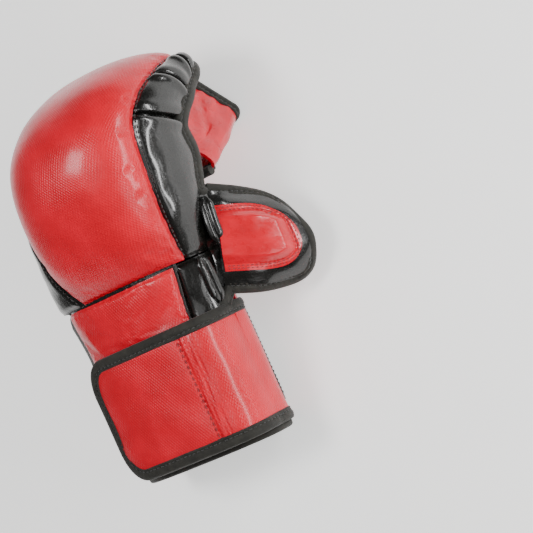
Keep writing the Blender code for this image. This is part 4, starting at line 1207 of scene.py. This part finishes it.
def make_strap_base():
    turn, y = grid(*STRAP_BASE_TURNS, STRAP_LOW_Y, STRAP_HIGH_Y, 300, 110)
    base = oval(turn, y)
    offset = SLEEVE_REST + STRAP_THICK + 0.3 * waves(base, 36.0, 90)
    piece = layer("strap_base_leather", oval, turn, y, offset, SLEEVE_REST)
    fit(piece, RED, "glove", ["strap_base"])
    turns = np.linspace(*STRAP_BASE_TURNS, 70)
    for word, y, way in STRAP_EDGES:
        tape_round_wrist("strap_base_tape_" + word, turns, y, SLEEVE_REST + 0.5 * STRAP_THICK + 0.2,
                         (4.3, 2.5), 380, "glove", "strap_base_binding_" + word, -1.7, 91, way)
    lift = SLEEVE_REST + STRAP_THICK + SLEEVE_REST
    turn, y = grid(*LABEL_TURNS, *LABEL_YS, 200, 90)
    base = oval(turn, y)
    near = nearest_border(base)
    offset = lift + 0.8 + 0.12 * waves(base, 18.0, 92) - 0.5 * bump_at(near, 0.0, 1.2)
    piece = layer("label_cloth", oval, turn, y, offset, lift - 0.4)
    fit(piece, LABEL, "glove", ["strap_label"])
    inset = 2.2
    low, high = LABEL_TURNS[0] + inset * 1.4, LABEL_TURNS[1] - inset * 1.4
    below, above = LABEL_YS[0] + inset, LABEL_YS[1] - inset
    corners = [(low, below), (high, below), (high, above), (low, above)]
    turns, ys = [], []
    for k in range(4):
        a, b = corners[k], corners[(k + 1) % 4]
        turns.append(np.linspace(a[0], b[0], 60, endpoint=False))
        ys.append(np.linspace(a[1], b[1], 60, endpoint=False))
    turns, ys = np.concatenate(turns), np.concatenate(ys)
    up = normals(oval, turns, ys)
    path = oval(turns, ys) + up * (lift + 0.9)
    fit(stitch_row("label_stitching", path, up, 2.0, 0.3, pitch=3.0), BLACK_THREAD, "glove")
    make_label_field()


def make_label_field():
    """A plain pale field with rounded corners on the label's flat underside."""
    plate = CUFF_BOTTOM_Z - (SLEEVE_REST + STRAP_THICK + SLEEVE_REST + 1.0 + 0.3)
    half_x, half_y, power = LABEL_FIELD_HALF_X, LABEL_FIELD_HALF_Y, 7.0
    rings = np.concatenate([np.linspace(0.02, 0.94, 16), [0.97, 0.985, 1.0]])
    turn = np.linspace(0.0, 2.0 * math.pi, 120, endpoint=False)
    outline_x = half_x * np.copysign(np.abs(np.cos(turn)) ** (2 / power), np.cos(turn))
    outline_y = half_y * np.copysign(np.abs(np.sin(turn)) ** (2 / power), np.sin(turn))
    x = CUFF_X + rings[:, None] * outline_x
    y = LABEL_FIELD_Y + rings[:, None] * outline_y
    soft = 0.45 * smooth((rings - 0.94) / 0.06)[:, None]
    under = np.stack([x, y, plate - 0.8 + soft + 0.0 * x], -1)
    above = np.stack([x, y, plate + 0.25 + 0.0 * x], -1)
    piece = shell("label_grey_field", under, above, wrap=True)
    fit(piece, GREY, "glove", ["label_panel"])


# ---- palm ----------------------------------------------------------------------------------------
def make_palm():
    turn, y = grid(*PALM_TURNS, PALM_START_Y, PALM_EDGE_Y, 300, 130)
    base = palm(turn, y)
    travel = lengths(base, 1)
    folds = 0.0
    for k, place in enumerate((0.24, 0.5, 0.77)):
        line = travel - place * travel[:, -1:] - 3.0 * np.sin(0.05 * (y - PALM_START_Y) + k)
        folds = folds - 1.5 * bump_at(line, 0.0, 1.2) + 0.8 * bump_at(line, 3.0, 2.2)
    offset = PANEL_THICK + folds + 0.8 * waves(base @ np.diag((0.8, 1.3, 1.0)), 22.0, 100)
    piece = layer("palm_panel_leather", palm, turn, y, np.minimum(offset, 4.2), SLEEVE_REST)
    fit(piece, BLACK, "glove", ["palm_panel"])
    turns = np.linspace(*PALM_TURNS, 60)
    tape_round_wrist("palm_tape", turns, PALM_EDGE_Y + 0.9, 1.8, (4.2, 2.4), 330, "glove",
                     "palm_binding", -1.5, 101, 1.0)
    make_palm_patch()


def patch_place(c, t):
    """A crescent on the heel of the palm: c across from -1 to 1, t from the wrist to the fingers."""
    wide = 20.0 * np.maximum(1.0 - np.abs(1.5 * (t - 0.55)) ** 2.6, 0.18) ** 0.5
    turn = 212.0 + c * wide + 5.0 * (t - 0.5)
    y = 73.0 + 29.0 * t - 3.0 * (1.0 - c ** 2) * (1.0 - t)
    return turn, y


def make_palm_patch():
    c, t = grid(-1.0, 1.0, 0.0, 1.0, 90, 70)
    turn, y = patch_place(c, t)
    base = palm(turn, y)
    near = nearest_border(base)
    lift = PANEL_THICK + 0.8
    offset = lift + 1.0 + 2.2 * smooth((near - 3.6) / 5.0) - 0.45 * bump_at(near, 3.3, 0.8)
    piece = layer("palm_patch_leather", palm, turn, y, offset, lift)
    fit(piece, SLICK_RED, "glove", ["palm_patch"])
    c, t = grid(-0.72, 0.72, 0.18, 0.84, 40, 40)
    turn, y = patch_place(c, t)
    piece = layer("palm_patch_foam_block", palm, turn, y, lift + 1.4, lift - 0.3)
    fit(piece, FOAM, "glove", ["palm_patch_foam"])
    loop = [(c, 0.09) for c in np.linspace(-0.84, 0.84, 30)]
    loop += [(0.84, t) for t in np.linspace(0.09, 0.91, 30)[1:]]
    loop += [(c, 0.91) for c in np.linspace(0.84, -0.84, 30)[1:]]
    loop += [(-0.84, t) for t in np.linspace(0.91, 0.09, 30)[1:]]
    cs, ts = np.array(loop).T
    turn, y = patch_place(cs, ts)
    up = normals(palm, turn, y)
    path = palm(turn, y) + up * (lift + 1.05)
    fit(stitch_row("palm_patch_stitching", path, up, 2.0, 0.32, pitch=3.0), RED_THREAD, "glove")


# ---- thumb hood ----------------------------------------------------------------------------------
def set_back(r, s):
    """The hood's base runs on towards the sleeve on its wrist side; everything else keeps its place."""
    return s - HOOD_SET_BACK * np.maximum(1.0 - s, 0.0) ** 4 * np.clip((0.4 - r) / 1.4, 0.0, 1.0)


def make_thumb():
    r, s = grid(-1.0, 1.0, -0.02, 0.97, 150, 150)
    s = set_back(r, s)
    base = thumb(r, s)
    left, right, first, _ = border_distances(base)
    near = np.minimum(left, right)
    offset = -0.5 * waves(base, 24.0, 110) - 0.8 * waves(base, 11.0, 111) * np.exp(-first / 9.0)
    offset = offset - 0.8 * smooth(near / 12.0)
    piece = layer("thumb_hood_leather", thumb, r, s, offset, SKIN)
    fit(piece, BLACK, HOOD_BEND, ["thumb_cover"])
    r, s = grid(-0.96, 0.96, 0.0, 0.91, 70, 70)
    foam = SKIN + 0.8
    piece = layer("thumb_foam_block", thumb, r, s, foam, foam + THUMB_FOAM - 1.0)
    fit(piece, FOAM, "thumb_hood", ["thumb_foam"])
    r, s = grid(-0.97, 0.97, 0.0, 0.94, 130, 130)
    quilt = 0.5 * waves(thumb(r, s), 22.0, 112)
    inner = SKIN + THUMB_FOAM + 0.9 + quilt
    piece = layer("thumb_lining_cloth", thumb, r, s, inner, inner + LINING)
    fit(piece, KNIT, "thumb_hood", ["thumb_lining"])
    make_thumb_patch()
    make_thumb_tape()
    make_thumb_loop()


def thumb_patch_place(c, t):
    """The red D on the hood: c across from -1 to 1, t from the base to its rounded tip."""
    round_tip = np.maximum(1.0 - np.clip(t, 0.0, 1.0) ** 5, 0.0) ** 0.45
    r = 0.68 * c * blend(0.12, 1.0, round_tip)
    return r, set_back(r, THUMB_PATCH_REACH * t)


def make_thumb_patch():
    t_rows = np.sin(np.linspace(0.0, math.pi / 2.0, 150))
    c, t = np.meshgrid(np.linspace(-1.0, 1.0, 150), t_rows)
    r, s = thumb_patch_place(c, t)
    sheet = thumb(r, s) - normals(thumb, r, s) * 2.9
    left, right, _, _ = border_distances(sheet)
    tip = THUMB_LENGTH * THUMB_PATCH_REACH * (1.0 - t)
    near = np.minimum(np.minimum(left, right), np.maximum(tip, 0.0))
    swell = 3.4 * smooth((near - 4.6) / 7.0) - 0.6 * bump_at(near, 4.4, 0.9)
    swell += 0.25 * waves(sheet, 16.0, 115)
    away = -normals(thumb, r, s)
    outside = sheet + away * swell[..., None]
    piece = shell("thumb_patch_leather", outside, sheet - away * 1.2)
    fit(piece, SLICK_RED, HOOD_BEND, ["thumb_patch"])
    r, s = grid(-0.5, 0.5, 0.03, 0.66, 50, 50)
    piece = layer("thumb_patch_foam_block", thumb, r, s, -2.4, -0.4)
    fit(piece, FOAM, "thumb_hood", ["thumb_patch_foam"])
    for row, inset in enumerate((1.7, 3.6)):
        c_edge = 1.0 - inset / (THUMB_HALF_WIDTH * 0.68)
        t_end = 1.0 - inset / (THUMB_LENGTH * THUMB_PATCH_REACH)
        places = [(-c_edge, t) for t in np.linspace(0.02, t_end * 0.98, 60)]
        places += [(c, t_end) for c in np.linspace(-c_edge, c_edge, 24)]
        places += [(c_edge, t) for t in np.linspace(t_end * 0.98, 0.02, 60)]
        cs, ts = np.array(places).T
        r, s = thumb_patch_place(cs, ts)
        away = -normals(thumb, r, s)
        path = thumb(r, s) + away * 2.95
        name = "thumb_patch_stitching_" + ("outer", "inner")[row]
        fit(stitch_row(name, path, away, 2.1, 0.34, pitch=3.0), RED_THREAD, HOOD_BEND)


def thumb_rim_path():
    """Middle of the hood's tape and the hood's outward normal beside it, from r -1 round the tip to 1."""
    reach, tip = 2.4, 0.97
    middle = 0.5 * (SKIN + THUMB_FOAM + LINING)
    sides = np.linspace(0.0, 0.93, 26)
    across = np.linspace(-1.0, 1.0, 15)
    r = np.concatenate([np.full(26, -1.0), across, np.full(26, 1.0)])
    s = set_back(r, np.concatenate([sides, np.full(15, tip), sides[::-1]]))
    rim = thumb(r, s)
    sideways = unit(rim - thumb(r * 0.95, s) + 1e-9) * (np.abs(r) ** 6)[:, None]
    forward = unit(rim - thumb(r, s - 0.03)) * (np.maximum(s / tip, 0.0) ** 12)[:, None]
    inward = normals(thumb, r, s)
    path = resample_path(rim + inward * middle + unit(sideways + forward) * reach, 160)
    away = unit(resample_path(-inward, 160))
    for _ in range(60):
        path[1:-1] = 0.5 * path[1:-1] + 0.25 * (path[:-2] + path[2:])
        away[1:-1] = unit(0.5 * away[1:-1] + 0.25 * (away[:-2] + away[2:]))
    return path[::3], away[::3]


def make_thumb_tape():
    path, away = thumb_rim_path()
    taped_edge("thumb_tape", path, away, 5.0, 4.9, 340, HOOD_BEND, ["thumb_binding"], groove=-1.8,
               seed=116)


def make_thumb_loop():
    """The elastic band inside the hood."""
    depth = SKIN + THUMB_FOAM + LINING + 0.6
    turn, s = grid(0.0, math.pi, 0.34, 0.62, 90, 30)
    centre = thumb(0.0 * s, s)
    away = normals(thumb, 0.0 * s, s)
    ripple = 0.25 * np.sin(s * 180.0)
    faces = []
    for wide, drop in ((16.5, 20.0), (14.9, 18.4)):
        point = centre + away * (depth + 5.0 + drop * np.sin(turn) + ripple)[..., None]
        point[..., 1] += wide * np.cos(turn)
        faces.append(point)
    piece = shell("thumb_elastic_loop", faces[0], faces[1])
    fit(piece, KNIT, "thumb_hood", ["thumb_loop"])


def make_web():
    """The leather between hand and hood, and the two folded seam allowances that stand on it."""
    t, share = grid(-1.0, 1.0, 0.0, 1.0, 120, 60)
    y_hand = 82.0 + 34.0 * t
    wrist_side = oval(np.full_like(t, 84.0), np.minimum(y_hand, WRIST_SEAM_Y))
    wrist_side = wrist_side + normals(oval, np.full_like(t, 84.0), np.minimum(y_hand, 79.0)) * 1.0
    v = np.clip((y_hand - WRIST_SEAM_Y) / (147.0 - WRIST_SEAM_Y), 0.0, 1.0) * 0.25
    hand_side = hand(np.full_like(t, 0.97) * 0.985, v) - normals(hand, np.full_like(t, 0.95), v) * 0.8
    on_hand = smooth((y_hand - 74.0) / 12.0)[..., None]
    start = blend(wrist_side, hand_side, on_hand)
    end = thumb(t * 0.99, np.full_like(t, 0.0)) + normals(thumb, t * 0.99, np.full_like(t, 0.01)) * 0.8
    path = blend(start, end, share[..., None])
    sag = np.sin(np.pi * share) * (2.5 + 1.5 * np.cos(3.0 * t))
    path[..., 2] -= sag
    path[..., 2] += 0.7 * waves(path, 13.0, 120) * np.sin(np.pi * share)
    away = grid_normals(path)
    if away[..., 2].mean() < 0.0:
        away = -away
    piece = shell("thumb_web_leather", path + away * 0.7, path - away * 0.9)
    fit(piece, BLACK, ("glove", "thumb_hood", (47.0, 82.0, 33.0), (58.0, 82.0, 30.0)))
    make_web_tapes()
    make_web_tabs()


def make_web_tapes():
    """The binding tape goes on from the hand's rim and from the wrist to the hood's rim."""
    rim, rim_up = rim_path()
    hood, hood_up = thumb_rim_path()
    sleeve_turn, sleeve_y = np.full(2, 80.0), np.array((43.0, 44.5))
    sleeve_up = normals(oval, sleeve_turn, sleeve_y)
    sleeve = oval(sleeve_turn, sleeve_y) + sleeve_up * 2.4
    routes = (("web_tape_upper", rim[2::-1], rim_up[2::-1], hood[:-4:-1], hood_up[:-4:-1], 1.0),
              ("web_tape_lower", sleeve, sleeve_up, hood[:3], hood_up[:3], -1.0))
    for name, start, start_up, end, end_up, outward in routes:
        path = resample_path(np.concatenate([start, end]), 40)
        share = smooth(np.linspace(0.0, 1.0, 40))[:, None]
        up = unit(blend(start_up[0], end_up[-1], share))
        bend = HOOD_BEND if name.endswith("lower") else ("glove", "thumb_hood", start[-1], end[0])
        taped_edge(name, path, up, 4.4, 4.0, 90, bend, (),
                   groove=-1.7, seed=124, outward=outward)


def make_web_tabs():
    """Two narrow folds of leather over the seam between hand and hood, pinched together at the middle."""
    upper = np.array(((57.5, 113.0, 35.0), (57.5, 103.0, 37.0), (57.0, 92.0, 38.0), (56.5, 81.0, 37.0)))
    upper_up = np.tile(unit(np.array((0.5, 0.0, 0.87))), (4, 1))
    turn = np.array((WEB_TAB_DEG[0], *np.linspace(*WEB_TAB_DEG, 4), WEB_TAB_DEG[1]))
    y = np.array((79.0, *np.linspace(76.0, 50.0, 4), 46.0))
    lower_up = normals(oval, turn, y)
    lower = oval(turn, y) + lower_up * np.array((4.5, 5.4, 5.8, 5.8, 5.4, 4.0))[:, None]
    for word, path, up, node in (("upper", upper, upper_up, "web_tab_upper"),
                                 ("lower", lower, lower_up, "web_tab_lower")):
        line = resample_path(path, 150)
        ups = unit(resample_path(up, 150))
        share = np.linspace(0.0, 1.0, 150)
        taper = 0.45 + 0.55 * np.minimum(smooth(share / 0.2), smooth((1.0 - share) / 0.2))
        section = tape_section(4.8, 2.4, 0.0, groove_deep=0.9)
        piece = sweep("web_tab_leather_" + word, line, ups, section, lumps=0.1, seed=121, scale=taper)
        fit(piece, BLACK, "glove", [node])


# ---- studio --------------------------------------------------------------------------------------
VIEW_DEG = 35.0           # how far the camera stands towards the thumb side
FRAME_WIDTH_MM = 357.0
CAMERA_DISTANCE_MM = 1800.0


def view_axes():
    """Right, up and towards-the-camera directions of the picture, in the glove's frame."""
    angle = math.radians(VIEW_DEG)
    across = np.array((math.cos(angle), 0.0, -math.sin(angle)))
    towards = np.array((math.sin(angle), 0.0, math.cos(angle)))
    along = np.array((0.0, 1.0, 0.0))
    right = 0.91 * across - 0.41 * along
    up = 0.41 * across + 0.91 * along
    return unit(right), unit(up), towards, across, along


def aim(item, place, target):
    """Point an object's -Z from place to target, both in the frame's metres."""
    direction = Vector(target) - Vector(place)
    item.location = Vector(place)
    item.rotation_euler = direction.to_track_quat("-Z", "Y").to_euler()


def make_studio():
    right, up, towards, across, along = view_axes()
    centre = 45.5 * across + 54.7 * along
    eye = world(centre + towards * CAMERA_DISTANCE_MM)
    data = bpy.data.cameras.new("camera")
    data.lens = 36.0 * CAMERA_DISTANCE_MM / FRAME_WIDTH_MM
    data.sensor_width = 36.0
    data.clip_end = 20.0
    camera = place_in_scene("camera", data)
    axes = np.stack([TURN @ right, TURN @ up, TURN @ towards])
    camera.rotation_mode = "QUATERNION"
    camera.rotation_quaternion = Matrix(axes.T.tolist()).to_quaternion()
    camera.location = Vector(eye)
    bpy.context.scene.camera = camera

    middle = world(45.0 * across + 60.0 * along)
    lights = (
        ("key", (-0.28, 0.15, 1.25), 0.4, 0.4, 8.5),
        ("strip", (0.85, 0.0, 0.4), 1.1, 0.1, 9.0),
        ("fill", (0.9, -0.9, 0.8), 0.5, 0.5, 3.0),
        ("top", (0.1, -0.2, 1.5), 1.0, 1.0, 4.0),
    )
    for name, place, width, height, power in lights:
        light = bpy.data.lights.new(name, "AREA")
        light.shape = "RECTANGLE"
        light.size = width
        light.size_y = height
        light.energy = power
        aim(place_in_scene(name, light), middle + np.array(place), middle)
    backdrop = bpy.data.worlds.new("studio")
    bpy.context.scene.world = backdrop
    backdrop.use_nodes = True
    background = backdrop.node_tree.nodes["Background"]
    background.inputs[0].default_value = (1.0, 0.99, 0.97, 1.0)
    background.inputs[1].default_value = 0.13
    make_floor()


def make_floor():
    size = 3.0
    u, v = grid(-size, size, -size, size, 24, 24)
    points = np.stack([u, v, 0.0 * u], -1)
    mesh = bpy.data.meshes.new("floor")
    faces = quads(np.arange(u.size).reshape(u.shape))
    mesh.from_pydata(points.reshape(-1, 3), [], faces)
    uv = mesh.uv_layers.new(name="cloth_mm")
    flat = (points.reshape(-1, 3)[faces.reshape(-1)][:, :2] * 1000.0).astype(np.float32)
    uv.data.foreach_set("uv", flat.reshape(-1))
    mesh.materials.append(pale_floor())
    place_in_scene("floor", mesh)


make_dome()
make_gussets()
make_hand_inside()
make_rim()
make_loops()
make_wrist()
make_strap()
make_strap_base()
make_palm()
make_thumb()
make_web()
make_studio()
